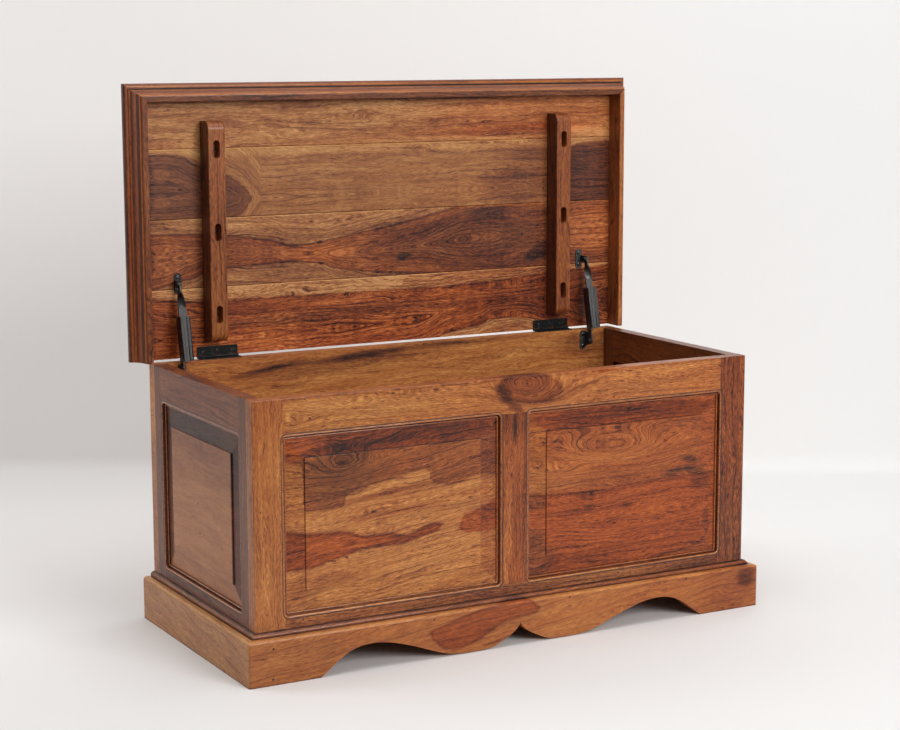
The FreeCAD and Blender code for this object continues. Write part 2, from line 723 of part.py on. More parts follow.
def arch_cut():
    def half_points(sign):
        return [Vector(sign * x * arch_half_span, 0, z * arch_height) for x, z in arch_middle_shares]

    right = Part.BSplineCurve()
    right.interpolate(half_points(1))
    left = Part.BSplineCurve()
    left.interpolate(half_points(-1))
    below = -cut_overrun
    start = half_points(-1)[-1]
    end = half_points(1)[-1]
    corner_left = Vector(start.x, 0, below)
    corner_right = Vector(end.x, 0, below)
    edges = [right.toShape(), left.toShape(), Part.makeLine(end, corner_right),
             Part.makeLine(corner_right, corner_left), Part.makeLine(corner_left, start)]
    face = Part.Face(Part.Wire(Part.__sortEdges__(edges)))
    solid = face.extrude(Vector(0, plinth_projection + cut_overrun * 2, 0))
    solid.translate(Vector(0, front_y - plinth_projection - cut_overrun, 0))
    return solid


plinth_outer_x = half_width + plinth_projection
plinth_outer_y = front_y - plinth_projection


def corner_waste(sign):
    # What is rounded off the upright front corner where two boards meet.
    reach = plinth_corner_round + cut_overrun
    middle = Vector(sign * (plinth_outer_x - plinth_corner_round), plinth_outer_y + plinth_corner_round, -cut_overrun)
    tall = plinth_bead_height + cut_overrun * 2
    edge = middle.x + sign * reach
    waste = box(min(middle.x, edge), max(middle.x, edge), middle.y - reach, middle.y, middle.z, middle.z + tall)
    return waste.cut(cylinder(plinth_corner_round, tall, middle, up))


front_section = plinth_section(lambda p, z: Vector(-plinth_outer_x, front_y - p, z))
front_board = front_section.extrude(Vector(plinth_outer_x * 2, 0, 0))
front_mitre = polygon_face([Vector(-half_width, front_y, 0), Vector(half_width, front_y, 0),
                            Vector(plinth_outer_x, plinth_outer_y, 0), Vector(-plinth_outer_x, plinth_outer_y, 0)])
front_board = front_board.common(front_mitre.extrude(Vector(0, 0, plinth_bead_height)))
save("plinth_front", front_board.cut([arch_cut(), corner_waste(-1), corner_waste(1)]))
for name, sign in (("plinth_left", -1), ("plinth_right", 1)):
    section = plinth_section(lambda p, z: Vector(sign * (half_width + p), plinth_outer_y, z))
    board = section.extrude(Vector(0, back_y - plinth_outer_y, 0))
    mitre = polygon_face([Vector(sign * half_width, front_y, 0), Vector(sign * half_width, back_y, 0),
                          Vector(sign * plinth_outer_x, back_y, 0), Vector(sign * plinth_outer_x, plinth_outer_y, 0)])
    save(name, board.common(mitre.extrude(Vector(0, 0, plinth_bead_height))).cut(corner_waste(sign)))
plinth_inner_back_y = back_y - plinth_rear_thickness
save("plinth_rear", box(-half_width, half_width, plinth_inner_back_y, back_y, 0, wall_underside_height))
blocks = []
for x in (-half_width, half_width - corner_block_width):
    for y in (front_y, plinth_inner_back_y - corner_block_width):
        blocks.append(box(x, x + corner_block_width, y, y + corner_block_width, 0, wall_underside_height))
save("plinth_corner_blocks", *blocks)

# Lid boards, with chamfered joints on both faces: the boards behind the front one share the rest alike
board_total = rim_front_z - lid_rear_z
lid_board_width = (board_total - lid_front_board_width) / (lid_board_count - 1)
batten_screw_z = lid_rear_z + batten_start + batten_length / 2
batten_face_y = plank_y - batten_depth
counterbore_floor_y = batten_face_y + counterbore_depth
batten_screw_places = []
for sign in (-1, 1):
    for step in (-1, 0, 1):
        place = Vector(sign * batten_centre, counterbore_floor_y, batten_screw_z + step * batten_screw_spacing)
        batten_screw_places.append(Placement(place, facing_front))
for place in batten_screw_places:
    lid_bores.append(placed(screw_bore(batten_screw_radius, batten_screw_length), place))
for index in range(lid_board_count):
    low = lid_rear_z + index * lid_board_width
    high = low + lid_board_width if index < lid_board_count - 1 else rim_front_z
    low_cut = lid_joint_chamfer if index > 0 else 0
    high_cut = lid_joint_chamfer if index < lid_board_count - 1 else 0
    points = [Vector(-rim_outer_x, plank_y + low_cut, low), Vector(-rim_outer_x, plank_y, low + low_cut),
              Vector(-rim_outer_x, plank_y, high - high_cut), Vector(-rim_outer_x, plank_y + high_cut, high),
              Vector(-rim_outer_x, lid_top_y - high_cut, high), Vector(-rim_outer_x, lid_top_y, high - high_cut),
              Vector(-rim_outer_x, lid_top_y, low + low_cut), Vector(-rim_outer_x, lid_top_y - low_cut, low)]
    kept = [points[0]]
    for point in points[1:]:
        if not point.isEqual(kept[-1], joint_clearance) and not point.isEqual(kept[0], joint_clearance):
            kept.append(point)
    board = polygon_face(kept).extrude(Vector(rim_outer_x * 2, 0, 0))
    for bore in lid_bores:
        if bore.BoundBox.ZMin < high and bore.BoundBox.ZMax > low:
            board = board.cut(bore)
    save("lid_board_" + str(index + 1), board)


# Rim and moulded edge of the lid: front, left and right, mitred

def rim_section(point):
    # point(outward, depth): outward from the rim's outer face, depth behind its lower face
    curve = rim_edge_round
    turn = curve * (1 - diagonal_share)
    wide = -rim_thickness
    return outline_face([
        (point(wide, rim_depth), point(wide, curve)),
        (point(wide, curve), point(wide + turn, turn), point(wide + curve, 0)),
        (point(wide + curve, 0), point(-curve, 0)),
        (point(-curve, 0), point(-turn, turn), point(0, curve)),
        (point(0, curve), point(0, rim_depth)),
        (point(0, rim_depth), point(wide, rim_depth))])


def moulding_section(point):
    total = rim_depth + lid_board_thickness
    bead = moulding_bead_radius
    bead_top = moulding_reveal + bead
    cove_low = bead_top + moulding_quirk
    cove_high = cove_low + cove_height
    cove_out = bead + cove_reach
    fillet_out = cove_out + fillet_reach
    step_depth = cove_high + fillet_height
    nose_out = moulding_reach - nose_radius
    nose_top = step_depth + nose_radius
    nose_turn = nose_radius * diagonal_share
    face_top = total - lid_top_round
    round_turn = lid_top_round * diagonal_share
    top_in = moulding_reach - lid_top_round
    bow = cove_reach * cove_bow_share
    return outline_face([
        (point(0, total), point(0, moulding_reveal)),
        (point(0, moulding_reveal), point(bead * diagonal_share, bead_top - bead * diagonal_share),
         point(bead, bead_top)),
        (point(bead, bead_top), point(bead, cove_low)),
        (point(bead, cove_low), point(bead + bow, (cove_low + cove_high) / 2), point(cove_out, cove_high)),
        (point(cove_out, cove_high), point(fillet_out, cove_high)),
        (point(fillet_out, cove_high), point(fillet_out, step_depth)),
        (point(fillet_out, step_depth), point(nose_out, step_depth)),
        (point(nose_out, step_depth), point(nose_out + nose_turn, nose_top - nose_turn),
         point(moulding_reach, nose_top)),
        (point(moulding_reach, nose_top), point(moulding_reach, face_top)),
        (point(moulding_reach, face_top), point(top_in + round_turn, face_top + round_turn),
         point(top_in, total)),
        (point(top_in, total), point(0, total))])


def lid_edge(section, inner_out, outer_out, part):
    # The three runs of one section round the lid, cut to their mitres.
    deep = Vector(0, rim_depth + lid_board_thickness + cut_overrun, 0)
    outer_x = rim_outer_x + outer_out
    outer_z = rim_front_z + outer_out
    inner_x = rim_outer_x + inner_out
    inner_z = rim_front_z + inner_out
    run = section(lambda o, d: Vector(-outer_x, rim_face_y + d, rim_front_z + o))
    run = run.extrude(Vector(outer_x * 2, 0, 0))
    mitre = polygon_face([Vector(-inner_x, rim_face_y, inner_z), Vector(inner_x, rim_face_y, inner_z),
                          Vector(outer_x, rim_face_y, outer_z), Vector(-outer_x, rim_face_y, outer_z)])
    save("lid_front_" + part, run.common(mitre.extrude(deep)))
    for hand, sign in (("left", -1), ("right", 1)):
        run = section(lambda o, d: Vector(sign * (rim_outer_x + o), rim_face_y + d, lid_rear_z))
        run = run.extrude(Vector(0, 0, outer_z - lid_rear_z))
        mitre = polygon_face([Vector(sign * inner_x, rim_face_y, lid_rear_z),
                              Vector(sign * inner_x, rim_face_y, inner_z),
                              Vector(sign * outer_x, rim_face_y, outer_z),
                              Vector(sign * outer_x, rim_face_y, lid_rear_z)])
        save("lid_" + hand + "_" + part, run.common(mitre.extrude(deep)))


lid_edge(rim_section, -rim_thickness, 0, "rim")
lid_edge(moulding_section, 0, moulding_reach, "moulding")

# Battens with slotted counterbores, and their screws
for hand, sign in (("left", -1), ("right", 1)):
    x = sign * batten_centre
    half = batten_width / 2
    low = lid_rear_z + batten_start
    batten = box(x - half, x + half, batten_face_y, plank_y, low, low + batten_length)
    ends = edges_near(batten, lambda b: close(b.YMax, batten_face_y) and b.ZLength < joint_clearance)
    batten = batten.makeFillet(batten_end_round, ends)
    long_edges = edges_near(batten, lambda b: close(b.YMax, batten_face_y) and b.XLength < joint_clearance)
    batten = batten.makeFillet(batten_edge_round, long_edges)
    for step in (-1, 0, 1):
        z = batten_screw_z + step * batten_screw_spacing
        reach = counterbore_length / 2
        slot = box(x - counterbore_width / 2, x + counterbore_width / 2, batten_face_y - cut_overrun,
                   counterbore_floor_y, z - reach, z + reach)
        slot = slot.makeFillet(counterbore_width / 2 - joint_clearance, edges_along(slot, "y"))
        bore = cylinder(batten_screw_radius + joint_clearance, batten_depth,
                        Vector(x, batten_face_y, z), Vector(0, 1, 0))
        batten = batten.cut(slot).cut(bore)
    save(hand + "_batten", batten)
batten_screws = []
for place in batten_screw_places:
    batten_screws.append(placed(round_screw(batten_screw_head_radius, batten_screw_head_height, batten_screw_radius,
                                            batten_screw_length), place))
save("batten_screws", *batten_screws)
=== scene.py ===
import json
import math

import bmesh
import bpy
from mathutils import Matrix, Vector


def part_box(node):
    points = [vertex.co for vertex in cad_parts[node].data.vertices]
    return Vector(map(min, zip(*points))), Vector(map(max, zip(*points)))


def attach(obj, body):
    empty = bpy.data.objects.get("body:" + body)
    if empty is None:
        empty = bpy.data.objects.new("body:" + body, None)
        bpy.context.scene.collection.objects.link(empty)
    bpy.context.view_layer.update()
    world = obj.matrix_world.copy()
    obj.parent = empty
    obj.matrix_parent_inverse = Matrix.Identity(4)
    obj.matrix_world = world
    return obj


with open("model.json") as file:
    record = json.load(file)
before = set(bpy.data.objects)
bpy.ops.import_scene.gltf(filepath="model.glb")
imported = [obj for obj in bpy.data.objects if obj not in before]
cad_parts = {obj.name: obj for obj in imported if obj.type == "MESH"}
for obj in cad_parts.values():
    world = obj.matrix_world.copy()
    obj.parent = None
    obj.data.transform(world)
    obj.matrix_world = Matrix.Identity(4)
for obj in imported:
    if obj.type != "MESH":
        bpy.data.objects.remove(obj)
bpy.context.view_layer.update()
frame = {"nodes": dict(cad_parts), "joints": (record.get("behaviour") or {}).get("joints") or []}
nodes = frame["nodes"]


# Small helpers for building node trees

def from_screen(red, green, blue):
    # Screen values from 0 to 255, as a linear colour.
    def linear(value):
        share = value / 255
        return share / 12.92 if share <= 0.04045 else ((share + 0.055) / 1.055) ** 2.4
    return (linear(red), linear(green), linear(blue), 1.0)


def add_node(tree, kind, inputs=None, **settings):
    made = tree.nodes.new(kind)
    for name, value in settings.items():
        setattr(made, name, value)
    for name, value in (inputs or {}).items():
        feed(tree, made.inputs[name], value)
    return made


def feed(tree, socket, value):
    if isinstance(value, bpy.types.NodeSocket):
        tree.links.new(value, socket)
    else:
        socket.default_value = value


def maths(tree, operation, *values, clamp=False):
    made = add_node(tree, "ShaderNodeMath", operation=operation, use_clamp=clamp)
    for socket, value in zip(made.inputs, values):
        feed(tree, socket, value)
    return made.outputs[0]


def times(tree, first, second):
    return maths(tree, "MULTIPLY", first, second)


def times_plus(tree, first, second, third, clamp=False):
    return maths(tree, "MULTIPLY_ADD", first, second, third, clamp=clamp)


def minus(tree, first, second):
    return maths(tree, "SUBTRACT", first, second)


def parts_of(tree, vector):
    return add_node(tree, "ShaderNodeSeparateXYZ", {"Vector": vector}).outputs


def joined(tree, x, y, z):
    return add_node(tree, "ShaderNodeCombineXYZ", {"X": x, "Y": y, "Z": z}).outputs[0]


def own_place(tree):
    return add_node(tree, "ShaderNodeTexCoord").outputs["Object"]


def vector_maths(tree, operation, first, second):
    made = add_node(tree, "ShaderNodeVectorMath", operation=operation)
    feed(tree, made.inputs[0], first)
    feed(tree, made.inputs["Scale"] if operation == "SCALE" else made.inputs[1], second)
    return made.outputs[0]


def mixed(tree, share, first, second, blend="MIX"):
    made = add_node(tree, "ShaderNodeMix", data_type="RGBA", blend_type=blend)
    feed(tree, made.inputs[0], share)
    feed(tree, made.inputs[6], first)
    feed(tree, made.inputs[7], second)
    return made.outputs[2]


def noise(tree, vector, stretch, detail=2.0, roughness=0.5):
    scaled = vector_maths(tree, "MULTIPLY", vector, stretch)
    made = add_node(tree, "ShaderNodeTexNoise", {"Vector": scaled, "Scale": 1.0, "Detail": detail,
                                                 "Roughness": roughness})
    return made.outputs[0]


def span(tree, value, low, high):
    # A smooth step from 0 at the low value to 1 at the high one.
    made = add_node(tree, "ShaderNodeMapRange", {"Value": value, "From Min": low, "From Max": high},
                    interpolation_type="SMOOTHSTEP")
    return made.outputs[0]


def colour_ramp(tree, value, stops):
    made = add_node(tree, "ShaderNodeValToRGB", {"Fac": value})
    elements = made.color_ramp.elements
    while len(elements) < len(stops):
        elements.new(0.5)
    for element, (place, colour) in zip(elements, stops):
        element.position = place
        element.color = colour
    return made.outputs[0]


def shader_group(name, inputs, outputs):
    tree = bpy.data.node_groups.new(name, "ShaderNodeTree")
    for label, kind, value in inputs:
        socket = tree.interface.new_socket(label, in_out="INPUT", socket_type="NodeSocket" + kind)
        socket.default_value = value
    for label, kind in outputs:
        tree.interface.new_socket(label, in_out="OUTPUT", socket_type="NodeSocket" + kind)
    start = tree.nodes.new("NodeGroupInput")
    end = tree.nodes.new("NodeGroupOutput")
    return tree, start.outputs, end.inputs


def place_group(tree, group, inputs):
    return add_node(tree, "ShaderNodeGroup", inputs, node_tree=group).outputs


# Shared effects of the wood. A grain vector runs along the grain, across the face, through the thickness.

SEED_STEP = (3.17, 1.73, 2.39)
# Noises of the grain: stretch along, across and through the board, detail, roughness
GRAIN_NOISE = {
    "slow bend": ((3, 12, 12), 1, 0.5),
    "quick bend": ((11, 60, 60), 3, 0.5),
    "feather": ((4, 160, 160), 2, 0.5),
    "flow": ((5, 24, 24), 2, 0.5),
    "blotch": ((5, 38, 38), 3, 0.55),
    "cloud": ((22, 70, 70), 3, 0.6),
    "streak": ((8, 170, 170), 3, 0.6),
    "fleck": ((90, 700, 700), 3, 0.65)}
RING_WANDER_STRETCH = (2.5, 45, 45)
RING_PATCH_STRETCH = (6, 60, 60)
PORE_STRETCH = (60, 1000, 1000)
QUICK_BEND_SHARE = 0.35
FEATHER_LENGTH = 0.012
LIFT_FALL = -0.8
LIFT_HEIGHT = 2.2
EDGE_LINE_SPREAD = 1.4
FLOW_DEPTH = 0.045
CLOUD_SHARE = 0.9
FLECK_SHARE = 2.6
STREAK_SHARE = 1.3
RING_SHARE = 0.9
RING_WANDER = 2.0
RING_SHARPNESS = 4.0
PORE_SHARE = 0.9
RED_BLOTCH_SHARE = 0.5
RING_PATCH_EDGE = (0.35, 0.7)
PORE_EDGE = (0.57, 0.7)
LACQUER_ROUGHNESS = 0.38
STREAK_ROUGHNESS = 0.2
PORE_ROUGHNESS = 0.12
STREAK_HEIGHT = 0.6
# Noises of the steel, and where its paint is worn
STEEL_COARSE = ((260, 260, 260), 3, 0.6)
STEEL_FINE = ((1400, 1400, 1400), 2, 0.5)
STEEL_WORN_EDGE = (0.55, 0.75)
STEEL_COARSE_ROUGHNESS = 0.3
STEEL_FINE_HEIGHT = 0.5


def ripple(tree, vector, name):
    # One of the grain's noises, moved to lie around zero.
    return minus(tree, noise(tree, vector, *GRAIN_NOISE[name]), 0.5)


def drifted_by_seed(tree, vector, seed):
    # Each seed takes its grain from another place in the noise.
    return vector_maths(tree, "ADD", vector, vector_maths(tree, "SCALE", SEED_STEP, seed))


def make_grain_warp():
    tree, given, result = shader_group(
        "grain_warp",
        [("Vector", "Vector", (0, 0, 0)), ("Seed", "Float", 0.0), ("Amount", "Float", 0.02)],
        [("Vector", "Vector")])
    drifted = drifted_by_seed(tree, given["Vector"], given["Seed"])
    slow = ripple(tree, drifted, "slow bend")
    sway = times_plus(tree, ripple(tree, drifted, "quick bend"), QUICK_BEND_SHARE, slow)
    along = times(tree, ripple(tree, drifted, "feather"), FEATHER_LENGTH)
    across = times(tree, sway, given["Amount"])
    bend = joined(tree, along, across, 0.0)
    feed(tree, result["Vector"], vector_maths(tree, "ADD", given["Vector"], bend))
    return tree


def make_heart_oval():
    # How far a place lies inside a long oval of heartwood, in metres, and below zero outside it.
    # Lift is what the growth rings rise by over the oval, so that they close round its middle.
    tree, given, result = shader_group(
        "heart_oval",
        [("Vector", "Vector", (0, 0, 0)), ("Along", "Float", 0.0), ("Across", "Float", 0.0),
         ("Half Length", "Float", 0.1), ("Half Width", "Float", 0.03), ("Lean", "Float", 0.0)],
        [("Distance", "Float"), ("Lift", "Float")])
    parts = parts_of(tree, given["Vector"])
    along = minus(tree, parts["X"], given["Along"])
    across = minus(tree, parts["Y"], given["Across"])
    across = minus(tree, across, times(tree, along, given["Lean"]))
    long_share = maths(tree, "DIVIDE", along, given["Half Length"])
    wide_share = maths(tree, "DIVIDE", across, given["Half Width"])
    squared = times_plus(tree, long_share, long_share, times(tree, wide_share, wide_share))
    inside = minus(tree, 1.0, maths(tree, "SQRT", squared))
    feed(tree, result["Distance"], times(tree, inside, given["Half Width"]))
    fall = maths(tree, "EXPONENT", times(tree, squared, LIFT_FALL))
    height = times(tree, given["Half Width"], LIFT_HEIGHT)
    feed(tree, result["Lift"], times(tree, fall, height))
    return tree


def make_heart_mark():
    # Darkens the tone inside the edge of a patch of heartwood, with a thin darker line along the edge.
    tree, given, result = shader_group(
        "heart_mark",
        [("Tone", "Float", 0.3), ("Red", "Float", 0.0), ("Distance", "Float", 0.0), ("Softness", "Float", 0.003),
         ("Weight", "Float", 0.3), ("Redness", "Float", 0.0), ("Rim", "Float", 0.1)],
        [("Tone", "Float"), ("Red", "Float")])
    outside = times(tree, given["Softness"], -1.0)
    inside = span(tree, given["Distance"], outside, given["Softness"])
    near = maths(tree, "DIVIDE", given["Distance"], times(tree, given["Softness"], EDGE_LINE_SPREAD))
    rim = maths(tree, "EXPONENT", times(tree, times(tree, near, near), -1.0))
    tone = times_plus(tree, inside, given["Weight"], given["Tone"])
    feed(tree, result["Tone"], times_plus(tree, rim, given["Rim"], tone))
    feed(tree, result["Red"], times_plus(tree, inside, given["Redness"], given["Red"]))
    return tree


WOOD_STOPS = [
    (0.0, from_screen(220, 160, 96)),
    (0.15, from_screen(198, 137, 76)),
    (0.3, from_screen(176, 114, 62)),
    (0.45, from_screen(151, 92, 51)),
    (0.6, from_screen(123, 71, 42)),
    (0.75, from_screen(95, 54, 36)),
    (0.9, from_screen(64, 38, 28)),
    (1.0, from_screen(38, 23, 19))]
RED_TINT = (1.06, 0.64, 0.45, 1.0)


def make_wood_tone():
    # Fine grain of one board: the second axis of the vector runs across the growth rings.
    tree, given, result = shader_group(
        "wood_tone",
        [("Vector", "Vector", (0, 0, 0)), ("Seed", "Float", 0.0), ("Tone", "Float", 0.3), ("Red", "Float", 0.0),
         ("Rings", "Float", 110.0), ("Ring Depth", "Float", 0.4), ("Streak", "Float", 0.35), ("Blotch", "Float", 0.25),
         ("Tint", "Color", (1, 1, 1, 1))],
        [("Color", "Color"), ("Roughness", "Float"), ("Height", "Float")])
    straight = drifted_by_seed(tree, given["Vector"], given["Seed"])
    parts = parts_of(tree, straight)
    level = times_plus(tree, ripple(tree, straight, "flow"), FLOW_DEPTH, parts["Y"])
    vector = joined(tree, parts["X"], level, parts["Z"])
    blotch, cloud, streak, fleck = (ripple(tree, vector, name) for name in ("blotch", "cloud", "streak", "fleck"))
    wander = times(tree, noise(tree, vector, RING_WANDER_STRETCH), RING_WANDER)
    phase = times_plus(tree, level, given["Rings"], wander)
    ring = maths(tree, "POWER", maths(tree, "FRACT", phase), RING_SHARPNESS)
    patchy = span(tree, noise(tree, vector, RING_PATCH_STRETCH), *RING_PATCH_EDGE)
    ring = times(tree, times(tree, ring, patchy), given["Ring Depth"])
    patches = times_plus(tree, cloud, CLOUD_SHARE, blotch)
    tone = times_plus(tree, patches, given["Blotch"], given["Tone"])
    lines = times_plus(tree, fleck, FLECK_SHARE, times(tree, streak, STREAK_SHARE))
    tone = times_plus(tree, lines, given["Streak"], tone)
    tone = times_plus(tree, ring, RING_SHARE, tone)
    pores = span(tree, noise(tree, vector, PORE_STRETCH), *PORE_EDGE)
    tone = times_plus(tree, pores, times(tree, given["Streak"], PORE_SHARE), tone)
    colour = colour_ramp(tree, tone, WOOD_STOPS)
    red = times_plus(tree, blotch, RED_BLOTCH_SHARE, given["Red"], clamp=True)
    colour = mixed(tree, red, colour, mixed(tree, 1.0, colour, RED_TINT, "MULTIPLY"))
    feed(tree, result["Color"], mixed(tree, 1.0, colour, given["Tint"], "MULTIPLY"))
    rough = times_plus(tree, streak, STREAK_ROUGHNESS, LACQUER_ROUGHNESS)
    feed(tree, result["Roughness"], times_plus(tree, pores, PORE_ROUGHNESS, rough))
    feed(tree, result["Height"], times_plus(tree, pores, -1.0, times(tree, streak, STREAK_HEIGHT)))
    return tree


def make_steel_skin():
    tree, given, result = shader_group(
        "steel_skin",
        [("Vector", "Vector", (0, 0, 0)), ("Paint", "Color", (0.01, 0.01, 0.01, 1)),
         ("Bare", "Color", (0.2, 0.2, 0.2, 1)), ("Wear", "Float", 0.3), ("Dullness", "Float", 0.3)],
        [("Color", "Color"), ("Roughness", "Float"), ("Height", "Float")])
    coarse = noise(tree, given["Vector"], *STEEL_COARSE)
    fine = noise(tree, given["Vector"], *STEEL_FINE)
    worn = times(tree, span(tree, coarse, *STEEL_WORN_EDGE), given["Wear"])
    feed(tree, result["Color"], mixed(tree, worn, given["Paint"], given["Bare"]))
    feed(tree, result["Roughness"], times_plus(tree, coarse, STEEL_COARSE_ROUGHNESS, given["Dullness"]))
    feed(tree, result["Height"], times_plus(tree, fine, STEEL_FINE_HEIGHT, coarse))
    return tree


grain_warp = make_grain_warp()
heart_oval = make_heart_oval()
heart_mark = make_heart_mark()
wood_tone = make_wood_tone()
steel_skin = make_steel_skin()

# Which object axes run along the grain, across the face and through the thickness
GRAIN = {
    "front_level": "XZY",
    "front_upright": "ZXY",
    "side_level": "YZX",
    "side_upright": "ZYX",
    "flat_level": "XYZ"}


def start_material(name):
    made = bpy.data.materials.new(name)
    made.use_nodes = True
    return made, made.node_tree, made.node_tree.nodes["Principled BSDF"]


MM = 1000
EDGE_LINE_SHARE = 0.5
# Softness of the edges, in millimetres
BEVEL_EDGE = 0.8
GROOVE_EDGE = 0.6
# How round bands are at their tips and where they join, and least height of a curve, in metres
BAND_TIP_ROUND = 0.012
BAND_JOIN_ROUND = 0.02
LEAST_REACH = 0.001
LACQUER_IOR = 1.5
WOOD_SPECULAR = 0.2
COAT_ROUGHNESS = 0.12
WOOD_BUMP = {"Distance": 0.0002, "Strength": 0.35}
STEEL_BUMP = {"Distance": 0.0003, "Strength": 0.4}


def edge_curve(tree, along, points):
    # The edge of a patch as a smooth curve through a few points, each along and across the board.
    points = [(place / MM, across / MM) for place, across in points]
    low, high = points[0][0], points[-1][0]
    least = min(across for _, across in points)
    reach = max(max(across for _, across in points) - least, LEAST_REACH)
    share = add_node(tree, "ShaderNodeMapRange", {"Value": along, "From Min": low, "From Max": high}).outputs[0]
    made = add_node(tree, "ShaderNodeFloatCurve", {"Value": share})
    curve = made.mapping.curves[0]
    places = [((place - low) / (high - low), (across - least) / reach) for place, across in points]
    while len(curve.points) < len(places):
        curve.points.new(0.5, 0.5)
    for point, place in zip(curve.points, places):
        point.location = place
    made.mapping.update()
    return times_plus(tree, made.outputs[0], reach, least)


def make_wood(name, tone, seed, grain="front_level", red=0.0, bands=(), zones=(), ovals=(), patches_and_shades=(), field=None,
              bevels=(), grooves=(), tilt=0.0, warp=0.012, rings=110.0, ring_depth=0.4, streak=0.35, blotch=0.25,
              gloss=0.2, tint_and_sheen=(1.0, 1.0, 1.0)):
    # bands and zones: upper edge, lower edge, weight, redness, softness, weight of the line along the edge
    # ovals and patches_and_shades: along, across, half length, half width, lean, weight, redness, softness; some of
    # these patches are painted shade
    # field: least and most along, least and most across of a raised field
    # bevels: weight and redness of the bevels before, beyond, below and above the field
    # grooves: least and most along, across and through the board, each None where it has no end, weight, redness
    # Lengths in bands, zones, ovals and patches_and_shades are in millimetres, and all others in metres.
    # The grain follows the bands and the ovals, and runs straight through the rest.
    made, tree, shader = start_material(name)
    parts = parts_of(tree, own_place(tree))
    vector = joined(tree, *(parts[axis] for axis in GRAIN[grain]))
    warped = place_group(tree, grain_warp, {"Vector": vector, "Seed": float(seed), "Amount": warp})
    bent = parts_of(tree, warped["Vector"])

    def mark(distance, weight, redness, softness, rim=0.0):
        nonlocal tone, red
        marked = place_group(tree, heart_mark, {
            "Tone": tone, "Red": red, "Distance": distance, "Softness": softness / MM, "Weight": weight,
            "Redness": redness, "Rim": rim})
        tone, red = marked["Tone"], marked["Red"]

    def band_distance(upper, lower):
        below = minus(tree, edge_curve(tree, bent["X"], upper), bent["Y"])
        above = minus(tree, bent["Y"], edge_curve(tree, bent["X"], lower))
        return maths(tree, "SMOOTH_MIN", below, above, BAND_TIP_ROUND)

    def oval(along, across, length, width, lean):
        return place_group(tree, heart_oval, {
            "Vector": warped["Vector"], "Along": along / MM, "Across": across / MM, "Half Length": length / MM,
            "Half Width": width / MM, "Lean": lean})

    rise = None
    for upper, lower, *look in bands:
        distance = band_distance(upper, lower)
        rise = distance if rise is None else maths(tree, "SMOOTH_MAX", rise, distance, BAND_JOIN_ROUND)
        mark(distance, *look)
    for upper, lower, *look in zones:
        mark(band_distance(upper, lower), *look)
    if rise is None:
        rise = minus(tree, bent["Y"], times(tree, bent["X"], tilt))
    for *shape, weight, redness, softness in ovals:
        knot = oval(*shape)
        rise = maths(tree, "ADD", rise, knot["Lift"])
        mark(knot["Distance"], weight, redness, softness, weight * EDGE_LINE_SHARE)
    for *shape, weight, redness, softness in patches_and_shades:
        mark(oval(*shape)["Distance"], weight, redness, softness)
    plain = parts_of(tree, vector)
    for *ends, weight, redness in grooves:
        inside = None
        for end, limit in enumerate(ends):
            if limit is not None:
                axis = plain["XYZ"[end // 2]]
                room = minus(tree, limit, axis) if end % 2 else minus(tree, axis, limit)
                inside = room if inside is None else maths(tree, "MINIMUM", inside, room)
        mark(inside, weight, redness, GROOVE_EDGE)
    if field:
        excess = [minus(tree, field[0], plain["X"]), minus(tree, plain["X"], field[1]),
                  minus(tree, field[2], plain["Y"]), minus(tree, plain["Y"], field[3])]
        for side, (weight, redness) in enumerate(bevels):
            others = excess[2:] if side < 2 else excess[:2]
            mitre = minus(tree, excess[side], maths(tree, "MAXIMUM", *others))
            mark(maths(tree, "MINIMUM", excess[side], mitre), weight, redness, BEVEL_EDGE)
    ringed = joined(tree, bent["X"], rise, bent["Z"])
    fine = place_group(tree, wood_tone, {
        "Vector": ringed, "Seed": float(seed), "Tone": tone, "Red": red, "Rings": rings, "Ring Depth": ring_depth,
        "Streak": streak, "Blotch": blotch, "Tint": (*tint_and_sheen, 1.0)})
    feed(tree, shader.inputs["Base Color"], fine["Color"])
    feed(tree, shader.inputs["Roughness"], fine["Roughness"])
    bump = add_node(tree, "ShaderNodeBump", {"Height": fine["Height"], **WOOD_BUMP})
    feed(tree, shader.inputs["Normal"], bump.outputs[0])
    shader.inputs["IOR"].default_value = LACQUER_IOR
    shader.inputs["Specular IOR Level"].default_value = WOOD_SPECULAR
    shader.inputs["Coat Weight"].default_value = gloss
    shader.inputs["Coat Roughness"].default_value = COAT_ROUGHNESS
    return made


def make_steel(name, paint, bare, wear, dullness):
    made, tree, shader = start_material(name)
    skin = place_group(tree, steel_skin, {
        "Vector": own_place(tree), "Paint": paint, "Bare": bare, "Wear": wear, "Dullness": dullness})
    feed(tree, shader.inputs["Base Color"], skin["Color"])
    feed(tree, shader.inputs["Roughness"], skin["Roughness"])
    bump = add_node(tree, "ShaderNodeBump", {"Height": skin["Height"], **STEEL_BUMP})
    feed(tree, shader.inputs["Normal"], bump.outputs[0])
    shader.inputs["Metallic"].default_value = 1.0
    return made


def put_in_scene(name, data):
    made = bpy.data.objects.new(name, data)
    bpy.context.scene.collection.objects.link(made)
    return made


def dress(name, material):
    piece = nodes[name]
    piece.data.materials.clear()
    piece.data.materials.append(material)


def tone_and_shade_line(weight, redness, along=(None, None), across=(None, None), through=(None, None)):
    # One of a wood's grooves: darker where the weight is above zero and paler where it is below. Most of these lines
    # are painted shade or painted highlights, and some give the wood's own tone.
    return (*along, *across, *through, weight, redness)


# Boards of the lid, numbered from the hinges to the front edge

def lid_end_shade(across):
    # Painted shade where the left end of a board lies against the rim.
    return (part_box("lid_board_1")[0].x * MM, across, 30, 120, 0, 0.14, 0, 12)


JOINT_SHADE = 0.0012
JOINT_HIGHLIGHT = 0.0016


